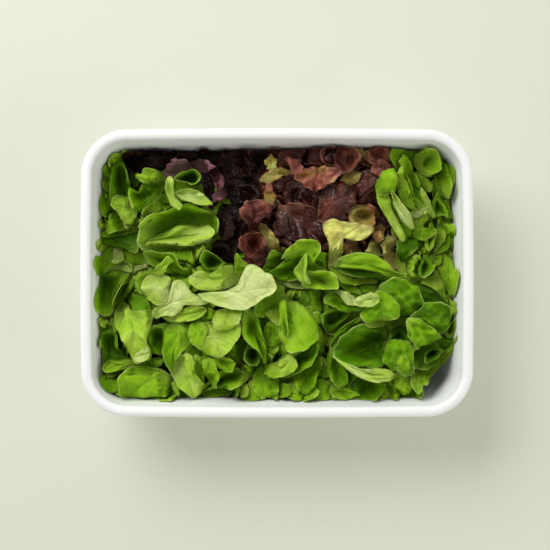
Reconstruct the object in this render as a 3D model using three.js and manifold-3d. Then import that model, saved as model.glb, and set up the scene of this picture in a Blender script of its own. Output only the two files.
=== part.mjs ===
// A white plastic tub with rounded corners and a rolled rim, filled with three kinds of lettuce:
// green leaves all round the left, the front and the right, and dark red and bronze leaves at the back.
// Millimetres, +Z up, +X to the right and +Y to the back. The origin is in the middle of the underside.
import * as THREE from "three";
import { mergeVertices } from "three/addons/utils/BufferGeometryUtils.js";
import Module from "manifold-3d";

// ---- driving dimensions of the tub -------------------------------------------------------------
const LENGTH = 370; // over the rim, left to right, at the middle of the sides
const WIDTH = 272; // over the rim, front to back
const HEIGHT = 92; // underside to the crown of the rim
const BOW = 1.6; // how far each side bulges out between its corners
const CORNER = 42; // outer corner radius at the rim
const RIM_WIDTH = 10.4; // across the half-round rim
const LIP = 5.2; // how far the rim stands out past the outer wall
const SKIRT = 5; // straight drop of the lip under the half-round
const DRAFT = THREE.MathUtils.degToRad(7); // lean of the walls
const FLOOR = 4; // thickness of the floor
const BASE_FILLET = 7; // round between the outer wall and the underside
const WELL_FILLET = 11; // round between the inner wall and the floor
const CORNER_STEPS = 6;
const SIDE_STEPS = 3;

// ---- driving dimensions of the leaves ------------------------------------------------------------
const GAP = 0.35; // clear of the tub, and half as much on each side of a border between kinds
const CREST = 77; // height of the heap's top in the middle
const SHOULDER = 67; // height of the heap's top at the wall
const SLOPE = 34; // distance from the wall over which the top rises most of the way
const CORE_DEPTH = 17; // the solid core lies this far under the top, and deeper under a hollow leaf
const CORE_CELL = 18; // width of a cell of the core's uneven top
const ROOT = 1.5; // the foot of a leaf goes this far into the core
const CEILING = 84; // no leaf reaches higher
const LEAF = 1.5; // thickness of a leaf
const WALL_SOFT = 5; // a leaf starts to turn up this far from the wall
const BORDER_SOFT = 2.5; // and this far from a border between two kinds
const CLIMB = 0.7; // share of what is pushed back that turns upwards
// The heights in the rows of leaves are stretched by RELIEF, moved down by DIP and end at DEEPEST.
const RELIEF = 1.7;
const DIP = 3;
const DEEPEST = 26;
const WIDE = 1000; // a leaf that covers this many square millimetres gets a ring halfway to its margin
const MID_RING = 0.6;
// In the front right corner the heap falls away to the wall.
const BARE_CORNER = { x: 172, y: -122, radius: 22, slope: 30, height: 30 };

// ---- the tub's outline ---------------------------------------------------------------------------
const RIM_RADIUS = RIM_WIDTH / 2;
const HALF_LENGTH = LENGTH / 2 - BOW;
const HALF_WIDTH = WIDTH / 2 - BOW;
const RIM_CENTRE = HEIGHT - RIM_RADIUS;

// How far the inner wall lies inside the outline at height z.
const innerInset = (z) => RIM_WIDTH + (RIM_CENTRE - z) * Math.tan(DRAFT);
const outerInset = (z) => LIP + (RIM_CENTRE - z) * Math.tan(DRAFT);

// The outline moved in by inset: a rounded rectangle with straight sides of SIDE_STEPS steps, then
// bowed by x (1 + BOW / halfLength (1 - (y / halfWidth)^2)), and the same for y.
function outline(inset) {
  const halfX = HALF_LENGTH - inset;
  const halfY = HALF_WIDTH - inset;
  const radius = Math.max(CORNER - inset, 3);
  const flat = [];
  for (const [sx, sy, from] of [[1, 1, 0], [-1, 1, 90], [-1, -1, 180], [1, -1, 270]]) {
    const cx = sx * (halfX - radius);
    const cy = sy * (halfY - radius);
    for (let i = 0; i <= CORNER_STEPS; i++) {
      const a = THREE.MathUtils.degToRad(from + (90 * i) / CORNER_STEPS);
      flat.push(new THREE.Vector2(cx + radius * Math.cos(a), cy + radius * Math.sin(a)));
    }
    const start = flat[flat.length - 1];
    const end = new THREE.Vector2(
      from % 180 === 0 ? -sx * (halfX - radius) : sx * halfX,
      from % 180 === 0 ? sy * halfY : -sy * (halfY - radius),
    );
    for (let i = 1; i < SIDE_STEPS; i++) flat.push(start.clone().lerp(end, i / SIDE_STEPS));
  }
  return flat.map(({ x, y }) => [
    x * (1 + (BOW / halfX) * (1 - (y / halfY) ** 2)),
    y * (1 + (BOW / halfY) * (1 - (x / halfX) ** 2)),
  ]);
}

// A closed shell through one outline for each [inset, z] of the profile, closed by a fan to the axis
// at its first and at its last row. A profile that runs outwards and then up has its faces outwards.
function loft(profile) {
  const rings = profile.map(([inset, z]) => outline(inset).map(([x, y]) => [x, y, z]));
  const around = rings[0].length;
  const vertices = rings.flat(2);
  const first = vertices.length / 3;
  vertices.push(0, 0, profile[0][1], 0, 0, profile[profile.length - 1][1]);
  const faces = [];
  for (let i = 0; i < around; i++) {
    const j = (i + 1) % around;
    faces.push(first, j, i);
    for (let k = 0; k + 1 < rings.length; k++) {
      const low = k * around;
      const high = low + around;
      faces.push(low + i, low + j, high + j, low + i, high + j, high + i);
    }
    const top = (rings.length - 1) * around;
    faces.push(first + 1, top + i, top + j);
  }
  return { vertices, faces };
}

// Rows of [inset, z] on a round of the given radius, from one angle to another in steps. The angle 0
// points outwards and 90 points up.
function round(inset, z, radius, from, to, steps) {
  return Array.from({ length: steps + 1 }, (_, i) => {
    const a = THREE.MathUtils.degToRad(from + ((to - from) * i) / steps);
    return [inset - radius * Math.cos(a), z + radius * Math.sin(a)];
  });
}

function tubProfile() {
  const lipEnd = RIM_CENTRE - SKIRT;
  return [
    ...round(outerInset(0) + BASE_FILLET, BASE_FILLET, BASE_FILLET, -90, 0, 3),
    [outerInset(lipEnd), lipEnd],
    [LIP / 4, lipEnd],
    ...round(RIM_RADIUS, RIM_CENTRE, RIM_RADIUS, 0, 180, 7),
    ...round(innerInset(FLOOR) + WELL_FILLET, FLOOR + WELL_FILLET, WELL_FILLET, 0, -90, 3),
  ];
}

// ---- solids --------------------------------------------------------------------------------------
const wasm = await Module();
wasm.setup();

function solidOf({ vertices, faces }) {
  const geometry = new THREE.BufferGeometry()
    .setAttribute("position", new THREE.Float32BufferAttribute(vertices, 3));
  geometry.setIndex(faces);
  const merged = mergeVertices(geometry, 1e-3);
  return new wasm.Manifold(
    new wasm.Mesh({
      numProp: 3,
      vertProperties: merged.attributes.position.array,
      triVerts: new Uint32Array(merged.index.array),
    }),
  );
}

function meshOf(name, solid, material) {
  const { vertProperties, triVerts } = solid.getMesh();
  const geometry = new THREE.BufferGeometry()
    .setAttribute("position", new THREE.BufferAttribute(new Float32Array(vertProperties), 3));
  geometry.setIndex(new THREE.BufferAttribute(new Uint32Array(triVerts), 1));
  geometry.computeVertexNormals();
  const mesh = new THREE.Mesh(geometry, material);
  mesh.name = name;
  return mesh;
}

// ---- where the leaves may be -----------------------------------------------------------------------
// Distance of a point outside the inner wall at height z, negative inside, and the way out of it.
function wallDistance(x, y, z) {
  const inset = innerInset(z) + GAP;
  const radius = Math.max(CORNER - inset, 3);
  const dx = Math.abs(x) - (HALF_LENGTH - inset - radius);
  const dy = Math.abs(y) - (HALF_WIDTH - inset - radius);
  const corner = Math.hypot(Math.max(dx, 0), Math.max(dy, 0));
  const distance = corner + Math.min(Math.max(dx, dy), 0) - radius;
  const way = corner > 0
    ? [Math.max(dx, 0) / corner, Math.max(dy, 0) / corner]
    : dx > dy ? [1, 0] : [0, 1];
  return { distance, way: [way[0] * Math.sign(x), way[1] * Math.sign(y)] };
}

// The patches of red leaves in plan, as corners in order. Both run past the back wall.
const PAST_WALL = WIDTH / 2;
const DARK_RED_PATCH = [
  [-14, PAST_WALL], [-148, PAST_WALL], [-148, 98], [-84, 95], [-60, 68], [-52, 28], [-27, 12], [-17, 70],
];
const BRONZE_PATCH = [
  [112, PAST_WALL], [-14, PAST_WALL], [-17, 70], [-27, 12], [44, 14], [70, 6], [117, 20], [118, 34],
  [96, 76], [95, 98],
];
const BOTH_PATCHES = [...BRONZE_PATCH.slice(0, 1), ...DARK_RED_PATCH.slice(1, 7), ...BRONZE_PATCH.slice(4)];

// The same for a patch: distance outside its nearest edge, and the way out.
function patchDistance(patch, x, y) {
  let best = Infinity;
  let way = [1, 0];
  let inside = false;
  patch.forEach(([ax, ay], i) => {
    const [bx, by] = patch[(i + 1) % patch.length];
    const [ex, ey] = [bx - ax, by - ay];
    const t = THREE.MathUtils.clamp(((x - ax) * ex + (y - ay) * ey) / (ex * ex + ey * ey), 0, 1);
    const d = Math.hypot(x - ax - t * ex, y - ay - t * ey);
    if (d < best) {
      best = d;
      const length = Math.hypot(ex, ey);
      way = [ey / length, -ex / length];
    }
    if (ay > y !== by > y && x < ((bx - ax) * (y - ay)) / (by - ay) + ax) inside = !inside;
  });
  // The corners run anticlockwise, so the way out of an edge is to its right.
  return { distance: inside ? -best : best, way };
}

// A point that comes within soft of a border is slowed down, so that it never crosses it. What it
// loses sideways turns upwards by CLIMB, as a leaf that meets a wall turns up.
function held(point, { distance, way }, soft) {
  const over = distance + soft;
  if (over <= 0) return;
  const back = over - soft * (1 - Math.exp(-over / soft));
  point.x -= way[0] * back;
  point.y -= way[1] * back;
  point.z += CLIMB * back;
}

const KINDS = {
  green: (p) => {
    const { distance, way } = patchDistance(BOTH_PATCHES, p.x, p.y);
    held(p, { distance: -distance, way: [-way[0], -way[1]] }, BORDER_SOFT);
  },
  dark: (p) => held(p, patchDistance(DARK_RED_PATCH, p.x, p.y), BORDER_SOFT),
  bronze: (p) => held(p, patchDistance(BRONZE_PATCH, p.x, p.y), BORDER_SOFT),
};

// The top of the heap rises from SHOULDER at the wall to CREST by 1 - exp(-distance / SLOPE).
function heapTop(x, y) {
  const { distance } = wallDistance(x, y, SHOULDER);
  return CREST + (SHOULDER - CREST) * Math.exp(Math.min(distance, 0) / SLOPE);
}

// ---- a ceiling for every leaf ----------------------------------------------------------------------
// The heap is built from the top down, on a map of the lowest leaf over each cell of the plan. The
// leaves on top come first, as measured, and each next one is pressed down until it passes below.
const CELL = 2;
const COLUMNS = 184;
const ROWS = 134;
const CLEAR = 2; // between the middle surfaces of two leaves
const REACH = 4; // cells over which the underside of a leaf is carried outwards
const SLANT = 0.55; // and how steeply it rises there
const SOFT = 0.8;
const lowest = new Float64Array(COLUMNS * ROWS).fill(CEILING + CLEAR);

function cellOf(x, y) {
  const column = THREE.MathUtils.clamp(Math.floor(x / CELL + COLUMNS / 2), 0, COLUMNS - 1);
  const row = THREE.MathUtils.clamp(Math.floor(y / CELL + ROWS / 2), 0, ROWS - 1);
  return [column, row];
}

// The lowest leaf near a point, where a leaf that is some cells away counts SLANT higher for each.
function ceilingAt(x, y, reach = REACH) {
  const [column, row] = cellOf(x, y);
  let ceiling = Infinity;
  for (let i = Math.max(column - reach, 0); i <= Math.min(column + reach, COLUMNS - 1); i++) {
    for (let j = Math.max(row - reach, 0); j <= Math.min(row + reach, ROWS - 1); j++) {
      const away = Math.max(Math.hypot(i - column, j - row) - 1, 0) * CELL;
      ceiling = Math.min(ceiling, lowest[i + COLUMNS * j] + SLANT * away);
    }
  }
  return ceiling;
}

// Presses a point softly below the ceiling: z - SOFT log(1 + exp((z - ceiling) / SOFT)).
function slideUnder(point) {
  const over = (point.z - ceilingAt(point.x, point.y) + CLEAR) / SOFT;
  point.z -= SOFT * (over > 20 ? over : Math.log1p(Math.exp(over)));
}

// Draws a leaf into the map, at points CELL or less apart on each of its triangles.
function mark({ points, faces }) {
  for (let k = 0; k < faces.length; k += 3) {
    const [a, b, c] = [points[faces[k]], points[faces[k + 1]], points[faces[k + 2]]];
    const steps = Math.ceil(Math.max(a.distanceTo(b), b.distanceTo(c), c.distanceTo(a)) / CELL);
    for (let i = 0; i <= steps; i++) {
      for (let j = 0; i + j <= steps; j++) {
        const [u, v] = [i / steps, j / steps];
        const w = 1 - u - v;
        const [column, row] = cellOf(a.x * w + b.x * u + c.x * v, a.y * w + b.y * u + c.y * v);
        const at = column + COLUMNS * row;
        lowest[at] = Math.min(lowest[at], a.z * w + b.z * u + c.z * v);
      }
    }
  }
}

// ---- leaves ----------------------------------------------------------------------------------------
// One row is a leaf: its middle and the points of its margin, the tip first. A point is [x, y, height],
// and a middle may be a height alone, over the centre of the leaf's plan. The heights are over the
// heap's top. In each list the leaves that lie on top come first.
// Pale leaves left of the middle.
const PALE = [
  [6, [[2, -12, 5], [-1, -5, 5], [-9, 1, 5], [-17, 7, 5], [-24, 10, 5], [-30, 6, 4], [-35, -3, 3],
    [-40, -12, 2], [-52, -18, 2], [-66, -19, 2], [-76, -20, 1], [-68, -27, 1], [-56, -32, 2], [-42, -35, 3],
    [-30, -35, 4], [-20, -30, 4], [-10, -24, 5], [0, -19, 5]]],
  [6, [[-39, 19, 5], [-34, 14, 6], [-28, 9, 5], [-31, 3, 3], [-36, -4, 2], [-39, -12, 1], [-41, -5, 2],
    [-41, 5, 4]]],
  [-1, [[-84, -3, 1], [-82, -12, 2], [-74, -17, 3], [-62, -18, 3], [-50, -16, 3], [-41, -12, 3],
    [-38, -4, 2], [-41, 7, 3], [-50, 7, 0], [-58, 3, -2], [-66, -1, -1], [-73, 3, 3]]],
  [4, [[-66, -29, 1], [-72, -23, 2], [-80, -18, 3], [-86, -10, 4], [-92, -5, 4], [-99, -8, 4],
    [-102, -18, 3], [-106, -29, 2], [-118, -34, 0], [-120, -40, 0], [-118, -45, -1], [-110, -42, 0],
    [-99, -41, 0], [-91, -36, 1], [-88, -31, 1], [-78, -31, 1]]],
  [5, [[-96, 12, 4], [-103, 16, 5], [-110, 10, 4], [-116, 4, 3], [-121, 0, 1], [-113, -2, 1], [-106, 1, 2],
    [-103, 7, 3], [-99, 11, 3]]],
  [4, [[-117, -31, 0], [-127, -21, 1], [-130, -13, 2], [-128, -5, 2], [-120, 0, 2], [-110, 0, 2],
    [-102, -4, 1], [-99, -14, 0], [-103, -26, -1], [-109, -33, -1]]],
  [-10, [[-70, 21, 4], [-74, 13, 4], [-71, 6, 3], [-65, 2, 2], [-56, 3, 2], [-49, 8, 2], [-52, 12, 0],
    [-58, 17, 0], [-64, 21, 2]]],
  [1, [[-112, -42, -2], [-104, -47, -1], [-92, -47, 0], [-80, -45, 0], [-70, -41, 0], [-66, -33, -1],
    [-76, -30, 0], [-88, -33, 0], [-100, -38, -1]]],
  [2, [[-50, -56, 1], [-59, -54, 1], [-62, -46, 1], [-60, -37, 0], [-50, -33, -1], [-36, -34, -1],
    [-33, -41, 1], [-39, -51, 1]]],
  [5, [[-82, -66, 2], [-85, -57, 1], [-82, -48, 0], [-72, -46, -1], [-66, -52, 4], [-68, -62, 5],
    [-74, -70, 4]]],
  [3, [[-53, -81, 1], [-64, -80, 1], [-74, -75, 1], [-82, -67, 1], [-84, -57, 0], [-81, -48, -2],
    [-66, -45, -3], [-50, -47, -3], [-37, -46, -1], [-34, -57, 1], [-37, -65, 1], [-43, -73, 1]]],
  [3, [[-101, -97, -3], [-106, -89, 0], [-109, -78, 1], [-109, -63, 1], [-106, -51, 1], [-97, -45, 0],
    [-87, -46, -2], [-80, -56, -3], [-82, -68, -3], [-91, -77, -1], [-98, -86, -1]]],
  [-5, [[-81, 4, 0], [-87, 2, 1], [-92, 8, 2], [-96, 16, 3], [-100, 20, 3], [-110, 20, 3], [-120, 22, 3],
    [-128, 20, 1], [-124, 10, -4], [-110, 2, -6], [-96, -2, -6], [-86, -3, -4]]],
  [-6, [[-106, 18, 1], [-114, 13, 2], [-121, 5, 3], [-129, -1, 3], [-135, -6, 3], [-136, -13, 2],
    [-131, -20, 0], [-122, -24, -4], [-112, -14, -6], [-104, -2, -5], [-102, 10, -2]]],
];
// Leaves in the left corner at the back.
const BACK_LEFT = [
  [-1, [[-60, 38, 6], [-66, 33, 6], [-76, 28, 6], [-90, 26, 6], [-105, 25, 5], [-120, 25, 5], [-124, 28, 2],
    [-114, 35, -4], [-104, 41, -7], [-97, 45, -8], [-84, 46, -9], [-72, 45, -8], [-64, 44, -4]]],
  [[-90, 53, -15], [[-57, 50, 5], [-58, 42, 6], [-64, 35, 6], [-75, 29, 6], [-90, 26, 6], [-105, 25, 5],
    [-120, 24, 5], [-128, 26, 6], [-132, 33, 6], [-131, 42, 6], [-126, 50, 6], [-117, 56, 4], [-106, 59, 2],
    [-96, 64, 3], [-86, 66, 4], [-75, 62, 4], [-63, 56, 5]]],
  [-12, [[-74, 93, 4], [-80, 99, 5], [-88, 97, 4], [-97, 92, 2], [-96, 89, 2], [-88, 87, 3], [-78, 85, 3]]],
  [4, [[-104, 88, 5], [-99, 88, 5], [-98, 78, 4], [-96, 68, 3], [-91, 62, 1], [-96, 59, -2], [-102, 64, 1],
    [-105, 75, 4]]],
  [-1, [[-73, 73, 1], [-75, 79, -2], [-88, 79, -4], [-97, 75, -3], [-95, 71, 0], [-88, 68, 1],
    [-78, 67, 2]]],
  [-5, [[-75, 86, 1], [-88, 88, 1], [-103, 87, 4], [-104, 74, 4], [-101, 63, 2], [-96, 54, -2],
    [-87, 63, -3], [-76, 68, -1], [-72, 76, 0]]],
  [3, [[-117, 69, 3], [-124, 65, 3], [-129, 57, 1], [-124, 52, -2], [-115, 55, -2], [-113, 62, 1]]],
  [3, [[-124, 100, 4], [-130, 96, 1], [-136, 94, -1], [-130, 88, -2], [-120, 86, -1], [-110, 89, 1],
    [-111, 96, 3], [-118, 99, 4]]],
  [-8, [[-142, 82, 3], [-140, 70, 2], [-134, 60, 0], [-126, 64, -3], [-118, 70, 0], [-112, 78, 0],
    [-108, 85, 2], [-118, 86, 3], [-128, 87, 3], [-135, 77, 1]]],
  [0, [[-158, 66, 4], [-155, 61, 3], [-150, 56, 1], [-146, 48, 0], [-138, 49, -2], [-136, 60, -2],
    [-140, 70, -4], [-148, 74, -6], [-156, 73, 0]]],
  [[-149, 88, -15], [[-157, 105, 3], [-160, 90, 5], [-160, 72, 4], [-156, 62, 2], [-150, 56, 1],
    [-146, 48, 0], [-138, 49, -3], [-136, 62, -2], [-141, 75, 1], [-143, 90, 2], [-146, 101, 1],
    [-150, 107, 1]]],
  [1, [[-158, 61, 1], [-165, 40, -1], [-154, 40, 0], [-143, 44, -1], [-148, 50, -1], [-152, 57, 0]]],
  [2, [[-172, 39, 1], [-160, 42, 4], [-148, 45, 5], [-137, 48, 4], [-133, 44, 2], [-138, 40, 0],
    [-150, 37, -1], [-162, 35, -2], [-172, 35, -1]]],
  [-6, [[-171, 38, -2], [-171, 30, -5], [-158, 26, -6], [-150, 24, -5], [-141, 21, -4], [-133, 21, -3],
    [-133, 41, -2], [-150, 40, -4]]],
  [-1, [[-177, 0, 2], [-175, 9, 3], [-169, 18, 4], [-159, 28, 3], [-155, 20, -2], [-146, 11, -4],
    [-158, 7, -4], [-170, -2, -3]]],
];
// Leaves at the left in front.
const FRONT_LEFT = [
  [5, [[-142, 3, 4], [-148, 9, 5], [-158, 10, 6], [-168, 6, 6], [-176, -1, 4], [-170, -1, 3], [-160, 3, 4],
    [-150, 4, 4], [-145, 1, 3]]],
  [[-165, -12, -14], [[-177, -4, 4], [-169, 4, 6], [-158, 8, 6], [-148, 8, 6], [-142, 2, 5], [-145, -8, 4],
    [-151, -17, 4], [-157, -25, 3], [-160, -38, 1], [-171, -37, 1], [-177, -26, 2], [-179, -14, 4]]],
  [4, [[-130, -84, 3], [-138, -80, 2], [-142, -70, 1], [-147, -61, 0], [-154, -52, 0], [-155, -38, 1],
    [-151, -28, 1], [-143, -32, 1], [-134, -37, 1], [-121, -38, -1], [-122, -52, -1], [-125, -64, 1],
    [-121, -74, 3], [-123, -81, 4]]],
  [4, [[-140, -12, 1], [-148, -16, 4], [-157, -22, 5], [-161, -33, 5], [-160, -45, 4], [-156, -56, 2],
    [-151, -50, 0], [-152, -35, 0], [-150, -26, 0], [-142, -18, 0]]],
  [4, [[-147, -119, 0], [-149, -106, 2], [-146, -97, 3], [-139, -92, 3], [-129, -90, 3], [-118, -92, 3],
    [-109, -96, 3], [-103, -103, 3], [-102, -110, 2], [-106, -116, 1], [-118, -118, 0], [-134, -119, 0]]],
  [0, [[-165, -93, 4], [-154, -93, 4], [-143, -91, 3], [-134, -87, 1], [-142, -84, -4], [-153, -84, -7],
    [-163, -85, -4]]],
  [[-161, -72, -12], [[-167, -57, 4], [-159, -54, 4], [-154, -58, 3], [-153, -70, 3], [-149, -80, 3],
    [-142, -85, 2], [-134, -88, 1], [-143, -91, 3], [-154, -92, 4], [-165, -92, 4], [-168, -80, 4],
    [-168, -67, 4]]],
  [-9, [[-110, -78, 0], [-120, -73, 1], [-123, -62, 2], [-122, -53, 3], [-113, -50, 3], [-106, -52, 1],
    [-106, -65, -2]]],
  [-1, [[-137, -86, 0], [-120, -82, 0], [-109, -80, -1], [-112, -88, 0], [-119, -92, 0], [-134, -91, 0]]],
  [-4, [[-152, 24, 1], [-141, 21, 2], [-133, 21, 3], [-127, 20, 3], [-125, 10, 0], [-134, 9, -2],
    [-148, 12, -3]]],
];
// A small open head in front.
const SMALL_HEAD = [
  [2, [[-80, -119, 1], [-88, -112, 2], [-95, -106, 2], [-100, -97, 2], [-99, -85, 3], [-88, -80, 3],
    [-80, -84, 1], [-78, -95, -3], [-72, -105, -2], [-75, -113, 0]]],
  [1, [[-60, -109, 1], [-65, -103, 2], [-70, -93, 1], [-70, -84, 1], [-64, -81, 2], [-59, -88, 2],
    [-56, -98, 2]]],
  [-3, [[-44, -93, 2], [-52, -93, 2], [-58, -88, 1], [-60, -81, 0], [-52, -80, 1], [-45, -83, 1],
    [-41, -88, 2]]],
  [-8, [[-80, -119, 1], [-70, -114, 3], [-58, -111, 4], [-45, -109, 4], [-34, -105, 3], [-31, -98, 1],
    [-40, -92, -2], [-52, -93, -4], [-62, -102, -5]]],
  [0, [[-76, -119, -1], [-62, -113, -1], [-46, -111, -1], [-46, -117, -2], [-60, -120, -2]]],
  [0, [[-48, -79, -1], [-41, -71, 0], [-34, -65, 1], [-31, -72, 1], [-37, -85, 0], [-43, -91, -1]]],
];
// Leaves in the middle and in front.
const MIDDLE = [
  [4, [[27, 17, 5], [28, 8, 5], [27, 0, 4], [31, -9, 2], [22, -7, 3], [17, 0, 3], [19, 6, 4], [24, 12, 5]]],
  [-3, [[55, -14, 4], [56, -7, 5], [51, 0, 5], [44, 1, 4], [36, 1, 2], [28, -1, 1], [25, -7, 2],
    [28, -12, 3], [35, -14, 3], [45, -15, 4]]],
  [5, [[40, 25, 5], [37, 29, 7], [30, 31, 8], [20, 29, 7], [12, 22, 6], [7, 15, 3], [16, 17, 2],
    [23, 21, 3], [29, 17, 1], [34, 11, 0], [38, 17, 2]]],
  [-10, [[-6, 0, 2], [4, 7, 4], [13, 16, 6], [21, 22, 7], [27, 19, 6], [32, 12, 5], [38, 6, 4], [45, 1, 3],
    [38, -4, -4], [26, -4, -6], [14, -6, -6], [3, -6, -3]]],
  [2, [[1, -8, 2], [10, -6, 2], [18, -5, 2], [25, -10, 1], [33, -14, 0], [24, -15, 1], [15, -14, 2],
    [8, -11, 2]]],
  [5, [[5, -36, 1], [4, -48, 2], [6, -60, 2], [10, -66, 3], [16, -60, 6], [17, -45, 6], [16, -32, 4],
    [10, -30, 0]]],
  [5, [[16, -73, 2], [9, -69, 2], [5, -60, 2], [4, -48, 1], [4, -36, 0], [12, -30, -1], [22, -31, 0],
    [30, -38, 2], [36, -48, 3], [37, -58, 3], [32, -67, 3], [24, -72, 3]]],
  [2, [[-8, -38, 1], [2, -34, 0], [6, -41, 1], [6, -51, 1], [-1, -48, 2], [-7, -43, 1]]],
  [1, [[-18, -40, 2], [-10, -41, 2], [-1, -36, 2], [6, -27, 2], [6, -17, 1], [1, -12, -1], [-9, -20, -2],
    [-18, -28, -1], [-19, -34, 1]]],
  [-4, [[-13, -84, 1], [-17, -73, 3], [-24, -67, 3], [-31, -61, 3], [-34, -52, 3], [-33, -42, 2],
    [-27, -37, 0], [-19, -40, -1], [-16, -52, -1], [-13, -64, 0], [-11, -75, 1]]],
  [-4, [[3, -50, 2], [-5, -48, 1], [-12, -54, 1], [-12, -67, 1], [-3, -69, 2], [4, -63, 3]]],
  [-11, [[-27, -71, 1], [-31, -78, 1], [-28, -85, 1], [-22, -88, 1], [-16, -83, 1], [-18, -74, 0]]],
  [2, [[-9, -98, 0], [-9, -89, 1], [0, -86, 2], [8, -81, 3], [15, -80, 3], [18, -86, 2], [15, -93, 1],
    [4, -98, 0]]],
  [-7, [[36, -62, 1], [38, -73, 3], [33, -84, 3], [25, -91, 3], [15, -97, 2], [7, -99, 1], [3, -92, 0],
    [4, -83, 0], [12, -78, 2], [20, -76, 2], [27, -72, 0]]],
  [1, [[-14, -118, 0], [-21, -111, 1], [-22, -101, 3], [-16, -92, 4], [-12, -93, 2], [-10, -99, 0],
    [-2, -101, 1], [1, -109, 1], [-4, -116, 0]]],
  [-5, [[28, -114, 1], [20, -110, 1], [16, -103, 0], [16, -96, -2], [25, -92, -3], [31, -87, 0],
    [36, -82, 3], [41, -83, 4], [41, -91, 4], [37, -99, 3], [35, -109, 2]]],
  [-2, [[80, -34, 0], [72, -36, 2], [62, -36, 3], [54, -32, 3], [46, -27, 3], [50, -21, 3], [57, -18, 2],
    [64, -25, 1], [72, -31, 0]]],
  [4, [[72, -28, 2], [78, -22, 3], [88, -19, 3], [98, -20, 2], [99, -28, 1], [90, -32, 2], [80, -32, 2]]],
  [5, [[121, -3, 1], [112, 1, 3], [106, 5, 4], [99, 11, 5], [90, 16, 6], [78, 18, 6], [68, 16, 5],
    [61, 10, 3], [57, 6, 2], [68, 5, 2], [82, 4, 2], [96, 1, 0], [108, -4, 0]]],
  [-5, [[114, -6, 0], [104, -7, 0], [92, -4, -2], [78, -3, -2], [66, 0, -2], [62, 5, -4], [80, 7, -6],
    [98, 5, -5]]],
  [2, [[52, 4, 2], [60, 2, 3], [68, -4, 3], [76, -7, 3], [84, -3, 3], [94, -3, 3], [94, -9, -1],
    [82, -10, -2], [72, -11, -2], [62, -8, -1]]],
  [-12, [[46, -51, 2], [44, -42, 3], [50, -36, 3], [60, -34, 2], [69, -36, 1], [66, -43, -2], [58, -50, -2],
    [51, -55, 1]]],
  [3, [[47, -55, 1], [57, -49, 3], [66, -42, 4], [74, -40, 4], [71, -48, 2], [63, -56, 1], [54, -59, 0]]],
  [-5, [[60, -108, 1], [53, -101, 1], [49, -90, 2], [50, -78, 3], [54, -68, 3], [58, -78, 0], [62, -87, -2],
    [66, -96, 0], [65, -105, 1]]],
  [-4, [[75, -92, 1], [74, -102, 1], [66, -105, 1], [63, -96, -2], [62, -86, -2], [70, -88, 0]]],
  [-3, [[77, -116, 1], [70, -112, 2], [60, -109, 2], [52, -110, 1], [53, -116, 1], [59, -120, 1],
    [68, -121, 1]]],
  [-8, [[88, -122, 3], [97, -117, 4], [102, -109, 4], [102, -102, 3], [92, -99, 0], [80, -99, -2],
    [76, -108, 0], [77, -120, 2]]],
  [1, [[-4, 21, 3], [3, 18, 3], [8, 13, 1], [2, 8, -1], [-7, 6, -1], [-9, 13, 2]]],
];
// The butterhead in the right corner in front.
const BUTTERHEAD = [
  [6, [[152, -66, 2], [142, -69, 2], [131, -68, 2], [124, -61, 3], [123, -52, 4], [125, -44, 5],
    [132, -43, 5], [141, -48, 4], [150, -55, 3], [156, -61, 3]]],
  [4, [[166, -42, 3], [164, -32, 3], [157, -29, 3], [147, -28, 4], [138, -31, 4], [130, -37, 3],
    [125, -42, 2], [134, -46, 1], [143, -51, 0], [151, -56, -1], [159, -58, 0], [164, -52, 2]]],
  [6, [[93, -20, 3], [84, -33, 2], [80, -41, 1], [84, -47, 1], [100, -45, 2], [115, -43, 2], [117, -34, 4],
    [111, -26, 5], [104, -19, 5], [98, -17, 4]]],
  [3, [[139, -29, 2], [134, -15, 3], [125, -8, 4], [115, -5, 5], [104, -7, 5], [96, -13, 4], [93, -20, 2],
    [102, -24, -3], [110, -34, -6], [116, -42, -6], [128, -41, -2], [135, -36, 1]]],
  [4, [[83, -50, 4], [95, -46, 5], [108, -43, 6], [120, -42, 6], [127, -44, 5], [121, -48, 2],
    [108, -49, 1], [95, -52, 1]]],
  [5, [[107, -65, 3], [102, -76, 4], [102, -86, 3], [107, -91, 2], [116, -95, 2], [125, -98, 1],
    [130, -96, 1], [130, -85, 2], [128, -73, 3], [124, -66, 2], [115, -64, 2]]],
  [-8, [[118, -51, 5], [110, -57, 5], [106, -65, 4], [110, -69, 1], [119, -69, 0], [127, -66, 2],
    [124, -54, 5]]],
  [3, [[63, -85, 6], [76, -89, 6], [90, -90, 6], [101, -91, 5], [109, -94, 3], [112, -99, 1],
    [105, -102, 1], [94, -101, 1], [84, -98, 2], [73, -92, 4]]],
  [[96, -68, -17], [[54, -75, 6], [57, -66, 7], [63, -58, 7], [72, -53, 6], [82, -50, 5], [95, -49, 3],
    [105, -53, 0], [107, -64, -4], [105, -78, -4], [102, -87, 2], [94, -90, 5], [83, -90, 6], [72, -89, 6],
    [63, -86, 6], [57, -81, 6]]],
  [1, [[53, -79, 2], [55, -70, 4], [60, -62, 4], [68, -54, 4], [79, -47, 4], [80, -42, 0], [70, -46, -2],
    [58, -56, -3], [52, -68, -2]]],
  [-3, [[153, -67, 4], [143, -72, 4], [134, -80, 4], [131, -90, 3], [142, -93, 2], [152, -90, 3],
    [160, -81, 3], [164, -75, 3], [157, -72, 3]]],
  [0, [[178, -60, 6], [177, -74, 5], [173, -86, 4], [164, -94, 3], [152, -99, 2], [143, -107, 1],
    [133, -115, -1], [129, -108, -1], [131, -97, 0], [141, -92, 0], [152, -89, 1], [160, -80, 2],
    [168, -70, 4]]],
  [1, [[125, -118, -1], [118, -114, 0], [113, -107, 1], [112, -97, 2], [122, -95, 1], [131, -98, 1],
    [131, -107, 0]]],
  [-3, [[178, -60, 5], [168, -60, 1], [158, -58, 0], [149, -58, -3], [150, -68, -4], [160, -76, -4],
    [169, -69, 0]]],
];
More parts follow.
